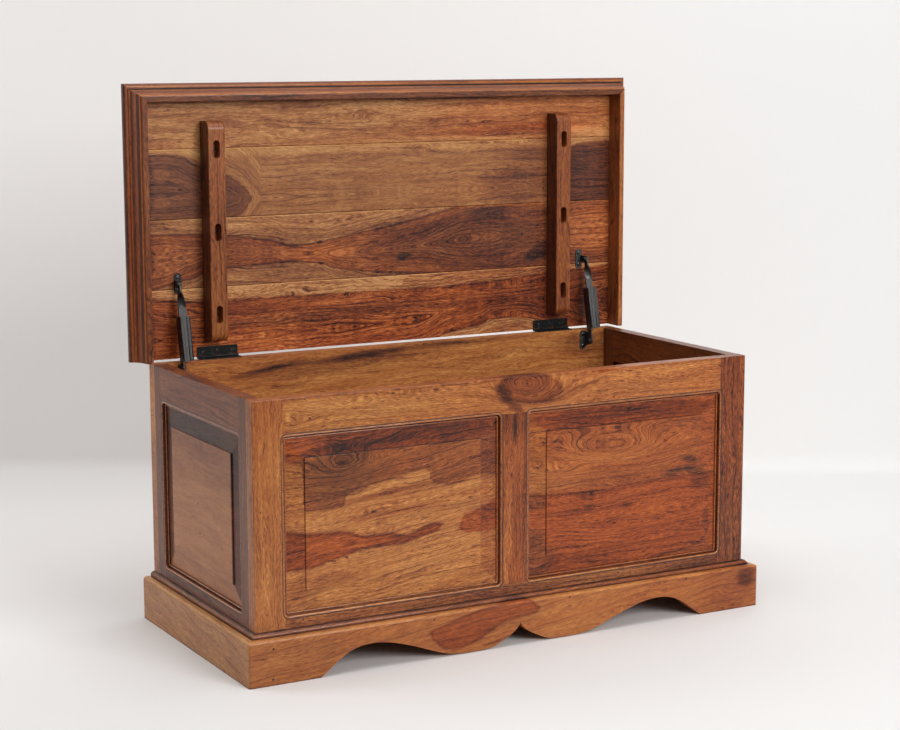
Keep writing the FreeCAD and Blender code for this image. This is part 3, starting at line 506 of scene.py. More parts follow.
def lid_joints(name, above, below):
    # Painted shade along a board's lower edge and a painted highlight along its upper edge, where another board joins
    # it.
    low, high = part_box(name)
    lines = []
    if below:
        lines.append(tone_and_shade_line(0.22, 0, across=(None, low.z + JOINT_SHADE)))
    if above:
        lines.append(tone_and_shade_line(-0.22, 0, across=(high.z - JOINT_HIGHLIGHT, None)))
    return lines


# Painted shade on the boards: the patches that darken them next to the right batten, a painted shadow of the rim along
# board 4's upper edge, and lid_end_shade by the left rim. The bluish tints lift green and blue to paint the lacquer's
# grey sheen over the wood's colour.
LID_BOARDS = {
    "lid_board_4": dict(
        grooves=lid_joints("lid_board_4", False, True), tone=0.22, red=0.12, seed=11, rings=90, ring_depth=0.35,
        streak=0.4, blotch=0.6, tint_and_sheen=(1, 1.05, 1.25),
        patches_and_shades=[(330, 872, 70, 30, 0, 0.12, 0.1, 30),
            # The first patch on the next line is a painted shadow under the rim.
            (0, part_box("lid_board_4")[1].z * MM, 1600, 13, 0, 0.5, 0, 5), (-80, 882, 160, 7, 0.06, 0.14, 0.1, 6),
            (220, 884, 220, 9, 0.02, 0.12, 0.4, 7), (340, 920, 240, 50, 0, 0, 0.55, 30),
            (-320, 930, 120, 12, 0.05, 0.08, 0.1, 10), (460, 880, 70, 8, 0, -0.2, 0, 5)]),
    "lid_board_3": dict(
        grooves=lid_joints("lid_board_3", True, True), tone=0.38, red=0.05, seed=23, rings=100, ring_depth=0.3,
        streak=0.3, blotch=0.3, tint_and_sheen=(1.05, 1.18, 1.45),
        bands=[([(-520, 853), (-433, 851), (-400, 836), (-343, 815), (-312, 798), (-286, 771), (-270, 750)],
            [(-520, 737), (-350, 737), (-317, 742), (-298, 755), (-286, 771), (-270, 790)], 0.25, 0.15, 2, 0.2)],
        zones=[([(380, 790), (395, 830), (420, 850), (530, 853)], [(380, 790), (395, 750), (420, 735), (530, 730)],
            0.36, 0.45, 3, 0.04)],
        patches_and_shades=[(310, 790, 100, 45, 0.05, 0.15, 0.2, 30), (320, 845, 50, 20, 0, 0.16, 0.1, 15), lid_end_shade(800),
            (120, 755, 60, 30, 0.1, 0.04, 0.1, 20), (60, 862, 800, 14, 0, -0.16, 0, 5)]),
    "lid_board_2": dict(
        grooves=lid_joints("lid_board_2", True, True), tone=0.36, red=0.05, seed=37, rings=120, ring_depth=0.45,
        streak=0.45, blotch=0.4, warp=0.008, tint_and_sheen=(1, 1.1, 1.45),
        bands=[([(-520, 712), (-413, 708), (-344, 703), (-253, 691), (-192, 680), (-160, 682), (-129, 685),
            (-65, 695), (22, 709), (110, 728), (200, 742), (520, 750)], [(-520, 605), (-413, 628), (-345, 643),
            (-274, 646), (-223, 648), (-171, 645), (-108, 630), (21, 615), (177, 606), (352, 602), (520, 600)],
            0.11, 0.6, 1.8, 0.28)],
        patches_and_shades=[lid_end_shade(680), (-120, 727, 300, 14, 0, -0.14, 0, 10), (-150, 662, 65, 14, 0, -0.2, 0.2, 6),
            (200, 680, 200, 50, -0.02, 0.2, -0.2, 30), (220, 725, 50, 10, 0, 0.22, -0.3, 6),
            (30, 645, 16, 8, 0, 0.25, -0.3, 4), (335, 640, 30, 14, 0.4, 0.25, -0.3, 6),
            (300, 610, 200, 20, 0, 0.14, 0, 15), (470, 680, 70, 50, 0, -0.22, 0.2, 20)]),
    "lid_board_1": dict(
        grooves=lid_joints("lid_board_1", True, False), tone=0.14, red=0.1, seed=41, rings=130, ring_depth=0.6,
        streak=0.6, blotch=0.45, warp=0.01, tint_and_sheen=(1, 1.06, 1.35),
        bands=[([(-520, 596), (-488, 593), (-344, 584), (-193, 582), (-23, 581), (132, 582), (352, 592),
            (520, 602)], [(-520, 440), (40, 460), (125, 488), (200, 499), (246, 509), (352, 496), (450, 470),
            (520, 460)], 0.28, 0.85, 2, 0.22)],
        patches_and_shades=[lid_end_shade(530), (-100, 545, 250, 12, 0.03, 0.14, -0.2, 10),
            (-260, 505, 200, 18, 0.03, -0.16, 0, 14), (480, 530, 70, 50, 0, 0.1, -0.2, 30),
            (300, 595, 200, 14, 0, 0.2, 0.4, 10), (320, 540, 130, 45, 0, 0.18, 0, 40),
            (270, 488, 130, 16, 0, 0.12, 0, 12), (180, 560, 200, 14, -0.02, -0.05, 0.1, 12)])}

# Front frame and panels
LEFT_FIELD = (-0.405, -0.0675, 0.147, 0.3745)
RIGHT_FIELD = (0.0675, 0.405, 0.147, 0.3745)
STEP_INNER = 0.0004
STEP_OUTER = 0.0006
STEP_ABOVE = 0.0008
RAIL_EDGE = 0.0052


def field_lines(left, right, bottom, top):
    # Painted shade in the step before and above a raised field, and a paler line along its edge below and beyond.
    return [tone_and_shade_line(0.15, 0, (left - STEP_OUTER, left + STEP_INNER), (bottom, top)),
            tone_and_shade_line(0.25, 0, (left, right), (top - STEP_OUTER, top + STEP_ABOVE)),
            tone_and_shade_line(-0.08, 0, (right - STEP_INNER, right + STEP_OUTER), (bottom, top)),
            tone_and_shade_line(-0.1, 0, (left, right), (bottom - STEP_OUTER, bottom + STEP_INNER))]


FRONT = {
    "front_top_rail": dict(
        tone=0.34, red=0.36, seed=5, rings=90, ring_depth=0.3, streak=0.45,
        grooves=[tone_and_shade_line(0.1, 0.1, across=(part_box("front_top_rail")[1].z - RAIL_EDGE, None))],
        ovals=[(30, 454, 66, 27, -0.08, 0.22, 0.3, 3)],
        patches_and_shades=[(0, 422, 20, 8, -0.6, 0.3, 0.1, 5), (-22, 450, 14, 16, -0.3, 0.2, 0, 8),
            (250, 470, 160, 14, 0, -0.07, 0, 10), (-400, 460, 60, 20, 0, -0.06, 0, 15),
            (-320, 450, 170, 30, 0, -0.05, -0.3, 25), (190, 475, 20, 3, 0, 0.1, 0.8, 2),
            (430, 430, 90, 25, 0, -0.06, 0.15, 20)]),
    "front_bottom_rail": dict(
        tone=0.5, red=0.2, seed=8, streak=0.45,
        patches_and_shades=[(400, 97, 100, 30, 0, 0.12, 0.2, 30), (-80, 92, 60, 8, 0, 0.12, 0.1, 8),
            (-360, 99, 100, 10, 0, -0.08, 0, 10)]),
    "front_left_stile": dict(
        grain="front_upright", tone=0.39, red=0.25, seed=3, rings=140, ring_depth=0.25,
        patches_and_shades=[(470, -475, 50, 40, 0, 0.03, 0.15, 40), (370, -460, 90, 25, 0, -0.12, 0, 25),
            (130, -475, 70, 40, 0, -0.03, 0, 40)]),
    "front_right_stile": dict(
        grain="front_upright", tone=0.57, red=0.7, seed=14, streak=0.5,
        patches_and_shades=[(120, 475, 100, 40, 0, 0.06, -0.3, 40)]),
    "front_centre_stile": dict(
        grain="front_upright", tone=0.47, red=0.65, seed=17, streak=0.45,
        patches_and_shades=[(160, -18, 100, 8, 0.05, -0.16, -0.2, 6), (385, 0, 22, 3, 0, 0.35, 0, 3),
            (410, 0, 40, 50, 0, 0.16, 0, 30)]),
    "front_left_panel": dict(
        tone=0.27, red=0.15, seed=19, ring_depth=0.45, streak=0.4, tilt=0.1, field=LEFT_FIELD,
        grooves=field_lines(*LEFT_FIELD), bevels=((0.06, 0.1), (0.1, 0.2), (0, 0), (0.1, 0.3)),
        zones=[([(-460, 500), (0, 500)], [(-460, 370), (-408.5, 360), (-404.5, 282.6), (-378, 281), (-337, 282),
            (-328, 302), (-290, 312.6), (-236, 324.2), (-180, 334.5), (-171, 333), (-163, 310), (-119, 301),
            (-71, 312), (-20, 299.5)], 0.22, 0.3, 3, 0.12), ([(-460, 258), (-402, 243), (-324, 237), (-298, 228.5),
            (-244, 227), (-221, 221), (-159, 234.6), (-140, 222)], [(-460, 186), (-403, 184.5), (-362, 191),
            (-325, 198.7), (-283, 207.4), (-241, 205.7), (-182, 216), (-159, 222), (-140, 240)], 0.2, 1, 2.5, 0.2),
            ([(-125, 200), (-108, 228), (-100, 243), (-79, 247), (-20, 266)], [(-125, 250), (-108, 218), (-71, 210),
            (-20, 214)], 0.17, 0.9, 3, 0.08)],
        ovals=[(-334, 357, 45, 21, 0.05, 0.05, 0, 4)],
        patches_and_shades=[(-270, 395, 190, 20, 0.03, 0.04, 0.7, 6), (-270, 389, 120, 6, 0.04, 0.2, 0, 5),
            (-345, 350, 70, 50, 0, 0.1, -0.3, 30), (-336, 359, 8, 4, 0, 0.25, 0.2, 4),
            (-257, 297, 85, 4.5, 0.146, 0.2, 0.3, 3), (-256, 308.5, 80, 4, 0.19, -0.05, 0, 3),
            (-250, 283, 100, 16, 0.08, 0.07, 0.1, 12), (-220, 264, 75, 3.5, 0.08, 0.2, 0.3, 3),
            (-100, 282, 50, 3, 0.05, 0.12, 0.2, 3), (-345, 214, 50, 8, 0.05, -0.14, 0.2, 6),
            (-322, 218, 10, 4, 0.1, 0.3, 0, 4), (-231, 220, 12, 3, 0.1, 0.25, 0, 3),
            (-150, 180, 130, 16, 0.06, -0.06, 0, 12), (-345, 161, 40, 9, -0.05, 0.16, 0.1, 6),
            (-100, 396, 80, 12, 0, 0.05, 0.7, 10), (-420, 393, 45, 22, 0, -0.16, 0.3, 15),
            (-400, 145, 30, 30, 0, 0.1, 0, 12)]),
    "front_right_panel": dict(
        tone=0.45, red=0.75, seed=29, ring_depth=0.45, streak=0.4, warp=0.008, tint_and_sheen=(1, 0.96, 0.88),
        field=RIGHT_FIELD, grooves=field_lines(*RIGHT_FIELD),
        bevels=((-0.02, -0.2), (0, 0.2), (0.03, 0), (0.06, 0.3)),
        zones=[([(0, 263), (69, 259), (149, 257.3), (235, 261), (324, 262.6), (460, 262)], [(0, 50), (270, 90),
            (326, 116.5), (403, 130), (426, 153), (434, 190), (460, 300)], 0, 0.4, 2, 0.18), ([(0, 382), (460, 382)],
            [(0, 263), (460, 262)], -0.02, -0.1, 4, 0)],
        ovals=[(204, 330, 110, 27, -0.03, -0.06, -0.1, 5), (90, 300, 60, 12, -0.05, -0.08, -0.2, 4)],
        patches_and_shades=[(240, 392, 200, 14, 0, 0.12, 0.4, 6), (350, 273, 30, 6, 0.15, 0.3, -0.3, 4),
            (390, 271, 18, 5, -0.1, 0.3, -0.3, 4), (377, 294, 18, 6, -0.2, 0.25, -0.2, 4),
            (405, 248, 22, 14, 0, 0.2, -0.1, 8), (158, 226.8, 10, 4, 0, 0.3, -0.2, 4),
            (238, 221.4, 9, 3.5, 0, 0.3, -0.2, 4), (160, 132, 45, 6, 0.08, 0.14, -0.1, 6),
            (385, 408, 50, 5, -0.1, -0.2, -0.3, 3), (420, 175, 8, 25, 0, 0.14, 0, 4),
            (60, 276, 100, 9, 0, -0.06, -0.3, 8), (48, 243, 18, 10, 0, 0.16, -0.4, 8),
            (48, 178, 16, 18, 0, 0.14, -0.4, 12), (45, 135, 50, 35, 0, 0.14, -0.4, 20)])}

# Side frames: the same four pieces and panel on each side
SIDE_SEED_STEP = 5
SIDES = {
    "front_stile": dict(grain="side_upright", tone=0.64, red=0.1, streak=0.2),
    "rear_stile": dict(grain="side_upright", tone=0.65, red=0.1, streak=0.2),
    "top_rail": dict(grain="side_level", tone=0.61, red=0.3, streak=0.2),
    "bottom_rail": dict(grain="side_level", tone=0.66, red=0.2, streak=0.2),
    "panel": dict(
        grain="side_level", tone=0.37, red=0.05, rings=80, ring_depth=0.08, streak=0.1,
        # Painted shade darkens the bevels before, beyond and above the field.
        field=(-0.1335, 0.1359, 0.147, 0.3745), bevels=((0.4, 0.5), (0.35, 0.1), (0.04, 0), (0.36, -0.1)),
        patches_and_shades=[(0, 370, 250, 65, 0, 0.16, 0, 50)])}

# Filled nail holes of the plinth, flush with its face
PLINTH_NAILS = [(x, z, 1.9, 1.9, 0, 0.5, -0.3, 0.7) for x, z in (
    (-478.4, 64.5), (-479.3, 11.3), (-174.1, 72.3), (102.8, 73.8), (356.4, 72.8))]
BODY_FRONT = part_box("front_left_stile")[0].y
BODY_LEFT, BODY_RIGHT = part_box("left_front_stile")[0].x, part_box("right_front_stile")[1].x
PLINTH_BACK = -0.01
PLINTH_BEAD = 0.008
PLINTH_QUIRK = 0.0105
PLINTH_EDGE = 0.03
PLINTH_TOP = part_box("plinth_front")[1].z
HIGHLIGHT_HEIGHT = 0.0755
QUIRK_HEIGHT = 0.07
BEAD_HEIGHT = 0.0782
CROWN_SHADE = 0.002
FLOOR_LINE = 0.0018


def plinth_lines(face, outward):
    # Painted highlight on the upper edge; painted shade on the crown, where the plinth meets the frame, and in the
    # quirk; the bead is darker, and so is a line along the floor.
    def from_face(near, far):
        return sorted((face + outward * near, face + outward * far))
    return [tone_and_shade_line(-0.16, -0.1, across=(HIGHLIGHT_HEIGHT, None), through=from_face(PLINTH_QUIRK, PLINTH_EDGE)),
            tone_and_shade_line(0.5, 0, across=(QUIRK_HEIGHT, None), through=from_face(PLINTH_BEAD, PLINTH_QUIRK)),
            tone_and_shade_line(0.12, 0.1, across=(BEAD_HEIGHT, None), through=from_face(PLINTH_BACK, PLINTH_BEAD)),
            tone_and_shade_line(0.35, 0, across=(PLINTH_TOP - CROWN_SHADE, None)),
            tone_and_shade_line(0.25, 0, across=(None, FLOOR_LINE))]


PLINTH = {
    "plinth_front": dict(
        grooves=plinth_lines(BODY_FRONT, -1), tone=0.36, red=0.25, seed=43, rings=90, ring_depth=0.3, streak=0.24,
        tilt=0.12,
        zones=[([(-200, 30), (-183, 47), (-140, 62), (-83, 75), (-42, 78), (0, 84), (30, 70), (45, 40)],
            [(-200, 60), (-183, 45), (-133, 12), (-100, 18), (-60, 35), (-32, 47), (30, 55), (45, 70)],
            0.14, 0.6, 2.5, 0.14)],
        patches_and_shades=PLINTH_NAILS + [(440, 50, 140, 50, 0, 0.04, 0.1, 40), (-450, 40, 120, 50, 0, 0.06, -0.1, 30),
            (495, 60, 20, 20, 0, 0.3, 0.2, 10), (300, 50, 200, 30, 0, -0.05, 0.1, 20),
            (460, 50, 60, 50, 0, 0.06, 0.1, 30)]),
    "plinth_left": dict(
        grain="side_level", grooves=plinth_lines(BODY_LEFT, -1), tone=0.35, red=0.05, seed=47, rings=70,
        # The bluish tint paints the lacquer's grey sheen over the wood's colour.
        ring_depth=0.25, streak=0.2, tilt=0.1, tint_and_sheen=(1.03, 1.14, 1.32)),
    "plinth_right": dict(
        grain="side_level", grooves=plinth_lines(BODY_RIGHT, 1), tone=0.37, red=0.1, seed=53, rings=70,
        ring_depth=0.25, streak=0.2),
    "plinth_rear": dict(tone=0.46, seed=59)}

INSIDE = {
    "back_upper_board": dict(
        tone=0.25, red=0.18, seed=61, rings=80, ring_depth=0.25,
        patches_and_shades=[(-270, 451, 70, 5, 0.1, 0.4, -0.2, 4), (-80, 463, 90, 6, 0.08, 0.35, -0.2, 4),
            (120, 473, 140, 5, 0.01, 0.3, -0.2, 4), (420, 450, 50, 20, 0, 0.25, -0.1, 20),
            (-100, 452, 170, 14, 0.06, 0.22, -0.15, 12), (-330, 460, 120, 40, 0, 0.07, 0.15, 30)]),
    "back_middle_board": dict(tone=0.38, seed=67, rings=80, ring_depth=0.25),
    "back_lower_board": dict(tone=0.42, seed=71, rings=80, ring_depth=0.25),
    "bottom_boards": dict(grain="flat_level", tone=0.4, seed=73),
    "bottom_cleats": dict(grain="flat_level", tone=0.45, seed=79),
    "plinth_corner_blocks": dict(grain="front_upright", tone=0.48, seed=83)}

RIM_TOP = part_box("lid_front_moulding")[0].z
RIM_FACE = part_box("lid_front_rim")[0].y
# Painted shade in the steps of the lid's moulding, painted highlights on its edges, and bands of darker and redder
# tone: least and most distance from the rim, weight, redness
FRONT_LINES = [(0.0, 0.0022, -0.14, -0.2), (0.0022, 0.0052, -0.02, 0.0), (0.0056, 0.0084, 0.2, 0.2),
               (0.0088, 0.0108, 0.06, -0.3), (0.0112, 0.0136, 0.5, 0.0), (0.0145, 0.018, -0.16, -0.1),
               (0.0186, 0.03, 0.13, 0.1)]
SIDE_LINES = [(0.0, 0.0043, 0.12, 0.0), (0.0045, 0.0068, -0.14, -0.3), (0.0075, 0.0175, 0.26, 0.1),
              (0.0195, 0.0235, -0.05, 0.1), (0.026, 0.0297, 0.2, 0.0), (0.0302, 0.0345, -0.06, -0.1),
              (0.0348, 0.08, 0.24, -0.3)]
front_lines = [tone_and_shade_line(*look, across=(RIM_TOP + low, RIM_TOP + high)) for low, high, *look in FRONT_LINES]
side_lines = [tone_and_shade_line(*look, through=(RIM_FACE + low, RIM_FACE + high)) for low, high, *look in SIDE_LINES]
FLANK_SHADE = 0.0012


def left_flank(name, weight):
    # Painted shade on the face that is turned to the left.
    return [tone_and_shade_line(weight, 0, across=(None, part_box(name)[0].x + FLANK_SHADE))]


LID_EDGES = {
    "lid_front_rim": dict(tone=0.64, red=0.2, seed=89, rings=150, streak=0.3),
    "lid_left_rim": dict(grain="front_upright", tone=0.57, red=0.3, seed=97, rings=150, streak=0.3),
    "lid_right_rim": dict(
        grain="front_upright", tone=0.34, red=0.25, seed=101, rings=150, streak=0.3,
        grooves=left_flank("lid_right_rim", 0.12)),
    "lid_front_moulding": dict(
        tone=0.5, red=0.3, seed=103, warp=0.002, streak=0.22, ring_depth=0.1, grooves=front_lines),
    "lid_left_moulding": dict(
        grain="front_upright", tone=0.57, red=0.6, seed=107, warp=0.002, streak=0.22, ring_depth=0.1,
        grooves=side_lines),
    "lid_right_moulding": dict(
        grain="front_upright", tone=0.57, red=0.5, seed=109, warp=0.002, streak=0.22, ring_depth=0.1,
        grooves=side_lines),
    "left_batten": dict(
        grain="front_upright", tone=0.44, red=0.3, seed=113, grooves=left_flank("left_batten", 0.3)),
    "right_batten": dict(
        grain="front_upright", tone=0.48, red=0.4, seed=127, grooves=left_flank("right_batten", 0.27))}

for table in (FRONT, PLINTH, INSIDE, LID_EDGES, LID_BOARDS):
    for piece_name, look in table.items():
        dress(piece_name, make_wood("wood_" + piece_name, **look))
for hand, first_seed in (("left", 131), ("right", 162)):
    for place, (piece_name, look) in enumerate(SIDES.items()):
        full_name = hand + "_" + piece_name
        dress(full_name, make_wood("wood_" + full_name, seed=first_seed + place * SIDE_SEED_STEP, **look))

# Blackened steel of the hinges, the stays and the screws. The right stay's steel is paler than the left one's: these
# are lit and shaded copies of one steel, with painted light on the right stay and painted shade on the left one.
black_hinge = make_steel("black_hinge", (0.02, 0.02, 0.02, 1), (0.09, 0.088, 0.085, 1), 0.5, 0.3)
black_stay = {"left": make_steel("black_left_stay", (0.036, 0.035, 0.034, 1), (0.13, 0.126, 0.12, 1), 0.5, 0.28),
              "right": make_steel("black_right_stay", (0.08, 0.078, 0.077, 1), (0.22, 0.214, 0.21, 1), 0.5, 0.3)}
black_screw = make_steel("black_screw", (0.12, 0.12, 0.12, 1), (0.4, 0.39, 0.38, 1), 0.4, 0.08)
for piece_name in nodes:
    if "screws" in piece_name:
        dress(piece_name, black_screw)
    elif "hinge" in piece_name:
        dress(piece_name, black_hinge)
    elif "stay" in piece_name:
        dress(piece_name, black_stay[piece_name.split("_")[0]])


# Filled nail holes of the front frame: small flat plugs of dark filler

PLUG_RADIUS = 0.0019
PLUG_RISE = 0.00003
PLUG_WIDTHS = {"Min": 0.7, "Max": 1.15}
PLUG_SEED = 4
FILLER_STRETCH = (900, 900, 900)
FILLER_DARK = from_screen(38, 22, 16)
FILLER_PALE = from_screen(74, 44, 30)
FILLER_ROUGHNESS = 0.5
NAIL_HOLES = [
    ("front_bottom_rail", [(-0.4125, 0.0986), (-0.179, 0.0967), (0.2215, 0.0972)]),
    ("front_top_rail", [(-0.4047, 0.4743), (-0.3955, 0.4415), (0.2154, 0.4712)]),
    ("front_left_stile", [(-0.4873, 0.2914)])]


def make_plug_tree():
    tree = bpy.data.node_groups.new("filled_nail_holes", "GeometryNodeTree")
    for label, kind in (("Geometry", "Geometry"), ("Radius", "Float"), ("Rise", "Float"), ("Seed", "Int"),
                        ("Filler", "Material")):
        tree.interface.new_socket(label, in_out="INPUT", socket_type="NodeSocket" + kind)
    tree.interface.new_socket("Geometry", in_out="OUTPUT", socket_type="NodeSocketGeometry")
    given = tree.nodes.new("NodeGroupInput").outputs
    result = tree.nodes.new("NodeGroupOutput").inputs
    plug = add_node(tree, "GeometryNodeMeshUVSphere", {"Segments": 14, "Rings": 6, "Radius": given["Radius"]})
    flat = maths(tree, "DIVIDE", given["Rise"], given["Radius"])
    size = joined(tree, 1.0, flat, 1.0)
    vary = add_node(tree, "FunctionNodeRandomValue", data_type="FLOAT")
    for socket in vary.inputs:
        if socket.name in PLUG_WIDTHS and socket.type == "VALUE":
            socket.default_value = PLUG_WIDTHS[socket.name]
    feed(tree, vary.inputs["Seed"], given["Seed"])
    widths = [socket for socket in vary.outputs if socket.type == "VALUE"][0]
    wide = joined(tree, widths, 1.0, widths)
    flattened = add_node(tree, "GeometryNodeTransform", {"Geometry": plug.outputs["Mesh"], "Scale": size})
    placed = add_node(tree, "GeometryNodeInstanceOnPoints", {"Points": given["Geometry"],
                                                             "Instance": flattened.outputs[0], "Scale": wide})
    solid = add_node(tree, "GeometryNodeRealizeInstances", {"Geometry": placed.outputs[0]})
    painted = add_node(tree, "GeometryNodeSetMaterial", {"Geometry": solid.outputs[0],
                                                         "Material": given["Filler"]})
    feed(tree, result["Geometry"], painted.outputs[0])
    return tree


def make_filler():
    made, tree, shader = start_material("nail_filler_and_quirk_shade")
    grain = noise(tree, own_place(tree), FILLER_STRETCH)
    feed(tree, shader.inputs["Base Color"], mixed(tree, grain, FILLER_DARK, FILLER_PALE))
    shader.inputs["Roughness"].default_value = FILLER_ROUGHNESS
    return made


def plain_mesh(piece):
    # The modifiers' result as the piece's own mesh.
    made = bpy.data.meshes.new_from_object(piece.evaluated_get(bpy.context.evaluated_depsgraph_get()))
    piece.modifiers.clear()
    piece.data = made


def fill_nail_holes():
    points = []
    for node, places in NAIL_HOLES:
        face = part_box(node)[0].y
        points += [(x, face, z) for x, z in places]
    mesh = bpy.data.meshes.new("nail_hole_plugs")
    mesh.from_pydata(points, [], [])
    piece = put_in_scene("nail_hole_plugs", mesh)
    tree = make_plug_tree()
    given = {item.name: item.identifier for item in tree.interface.items_tree if item.in_out == "INPUT"}
    modifier = piece.modifiers.new("plugs", "NODES")
    modifier.node_group = tree
    modifier[given["Radius"]] = PLUG_RADIUS
    modifier[given["Rise"]] = PLUG_RISE
    modifier[given["Seed"]] = PLUG_SEED
    modifier[given["Filler"]] = filler_and_quirk_shade
    plain_mesh(piece)
    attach(piece, "chest")


filler_and_quirk_shade = make_filler()
fill_nail_holes()

# Moulded edge of the panel openings: a round bead on the frame, a quirk line outside it and a slip by the panel. The
# quirk line is a dark strip of filler on the frame's face, painted shade of a quirk.

OPENING_CORNER = 0.006
LEAST_CORNER = 0.0015
FOOT_HIGHLIGHT = 0.0012
BEAD_RADIUS = 0.0017
SLIP_INSET = 0.0036
SLIP_RADIUS = 0.0015
SLIP_DEPTH = 0.0066
QUIRK_INSET = -0.0047
QUIRK_HALF_WIDTH = 0.0008
QUIRK_RISE = 0.00005


def opening_loop(low, high, inset, steps=5):
    # Points round a rectangle with rounded corners, each with its direction away from the middle.
    corner = max(OPENING_CORNER - inset, LEAST_CORNER)
    loop = []
    for turn, (right, top) in enumerate(((1, 1), (0, 1), (0, 0), (1, 0))):
        across = high[0] - inset - corner if right else low[0] + inset + corner
        up = high[1] - inset - corner if top else low[1] + inset + corner
        for step in range(steps + 1):
            angle = math.pi / 2 * (turn + step / steps)
            away = (math.cos(angle), math.sin(angle))
            loop.append((across + corner * away[0], up + corner * away[1], *away))
    return loop


SIDES_OF_BEAD = 10
SECTION = [(math.cos(2 * math.pi * side / SIDES_OF_BEAD), math.sin(2 * math.pi * side / SIDES_OF_BEAD))
           for side in range(SIDES_OF_BEAD)]


def skin_rows(build, rows, next_rows):
    # Faces between each ring of points and the next one.
    for row, following in zip(rows, next_rows):
        for side in range(len(row)):
            after = (side + 1) % len(row)
            build.faces.new((row[side], row[after], following[after], following[side]))


def bead_mesh(build, loop, depth, half_width, half_depth, to_space):
    # A closed bead along the loop, with an oval section.
    rows = []
    for across, up, away_across, away_up in loop:
        rows.append([build.verts.new(to_space(across + away_across * (half_width * wide),
                                              up + away_up * (half_width * wide), depth + half_depth * deep))
                     for wide, deep in SECTION])
    skin_rows(build, rows, rows[1:] + rows[:1])


def front_openings():
    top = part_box("front_top_rail")[0].z + OPENING_CORNER
    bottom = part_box("front_bottom_rail")[1].z - OPENING_CORNER
    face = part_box("front_left_stile")[0].y
    edges = (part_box("front_left_stile")[1].x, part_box("front_centre_stile")[0].x,
             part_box("front_centre_stile")[1].x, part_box("front_right_stile")[0].x)
    for left, right in (edges[:2], edges[2:]):
        yield (left, bottom), (right, top), lambda across, up, depth: (across, face + depth, up)


def side_openings():
    for hand, outward in (("left", -1), ("right", 1)):
        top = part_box(hand + "_top_rail")[0].z + OPENING_CORNER
        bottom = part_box(hand + "_bottom_rail")[1].z - OPENING_CORNER
        low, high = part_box(hand + "_front_stile")
        face = high.x if outward > 0 else low.x
        front, rear = high.y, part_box(hand + "_rear_stile")[0].y

        def to_space(across, up, depth, face=face, outward=outward):
            return (face - outward * depth, across, up)
        yield (front, bottom), (rear, top), to_space


def finish_mesh(name, build, material, body="chest"):
    bmesh.ops.recalc_face_normals(build, faces=build.faces)
    mesh = bpy.data.meshes.new(name)
    build.to_mesh(mesh)
    build.free()
    mesh.materials.append(material)
    for polygon in mesh.polygons:
        polygon.use_smooth = True
    piece = put_in_scene(name, mesh)
    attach(piece, body)


def add_opening_beads():
    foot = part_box("front_bottom_rail")[1].z - OPENING_CORNER
    # Painted highlight: the beads are paler along the foot of each opening, where a bead faces up.
    foot_highlight = [tone_and_shade_line(-0.3, -0.3, across=(None, foot - FOOT_HIGHLIGHT))]
    bead_wood = make_wood("wood_opening_beads", tone=0.4, seed=151, red=0.3, gloss=1.0, grooves=foot_highlight)
    slip_wood = make_wood("wood_opening_slips", tone=0.46, seed=157, red=0.3, gloss=1.0)
    for name, openings in (("front", front_openings), ("side", side_openings)):
        beads, slips, quirk_shades = bmesh.new(), bmesh.new(), bmesh.new()
        for low, high, to_space in openings():
            bead_mesh(beads, opening_loop(low, high, -BEAD_RADIUS), BEAD_RADIUS, BEAD_RADIUS, BEAD_RADIUS, to_space)
            bead_mesh(slips, opening_loop(low, high, SLIP_INSET), SLIP_DEPTH, SLIP_RADIUS, SLIP_RADIUS, to_space)
            bead_mesh(quirk_shades, opening_loop(low, high, QUIRK_INSET), 0.0, QUIRK_HALF_WIDTH, QUIRK_RISE, to_space)
        finish_mesh(name + "_opening_beads", beads, bead_wood)
        finish_mesh(name + "_opening_slips", slips, slip_wood)
        # Painted shade: the quirk lines are dark strips of the filler, laid where a quirk's groove would be shaded.
        finish_mesh(name + "_quirk_shade_lines", quirk_shades, filler_and_quirk_shade)


add_opening_beads()

# Folded lips and a pressed rib on the front of each stay's housing, along the line that its arm slides on

HOUSING_HALF_WIDTH = 0.010
HOUSING_HALF_DEPTH = 0.010
HOUSING_ENDS = (0.0255, 0.1065)
LIP_RADIUS = 0.0011
RIB_RADIUS = 0.0009
RIB_PLACE = 0.0026
TAPER_LENGTH = 0.8
TIP_SIZE = 0.3


def bar_mesh(build, ends, across, radius, to_space):
    # A rounded bar, tapered at both ends.
    taper = radius * TAPER_LENGTH
    rows = []
    for along, size in ((ends[0], TIP_SIZE), (ends[0] + taper, 1.0), (ends[1] - taper, 1.0), (ends[1], TIP_SIZE)):
        rows.append([build.verts.new(to_space(across + radius * size * wide, radius * size * out, along))
                     for wide, out in SECTION])
    skin_rows(build, rows, rows[1:])
    build.faces.new(rows[0])
    build.faces.new(rows[-1])


def add_housing_ribs():
    joints = {joint["name"]: joint for joint in frame["joints"]}
    for hand in ("left", "right"):
        start = Vector(joints[hand + "_stay_turn"]["pos_m"])
        line = -Vector(joints[hand + "_stay_slide"]["axis"])
        ahead = Vector((0, -line.z, line.y))

        def to_space(across, out, along, start=start, line=line, ahead=ahead):
            return start + Vector((across, 0, 0)) + ahead * (HOUSING_HALF_DEPTH + out) + line * along
        build = bmesh.new()
        edge = HOUSING_HALF_WIDTH - LIP_RADIUS
        for across, radius in ((-edge, LIP_RADIUS), (edge, LIP_RADIUS), (RIB_PLACE, RIB_RADIUS)):
            bar_mesh(build, HOUSING_ENDS, across, radius, to_space)
        finish_mesh(hand + "_housing_ribs", build, black_stay[hand], hand + "_stay_housing")


add_housing_ribs()

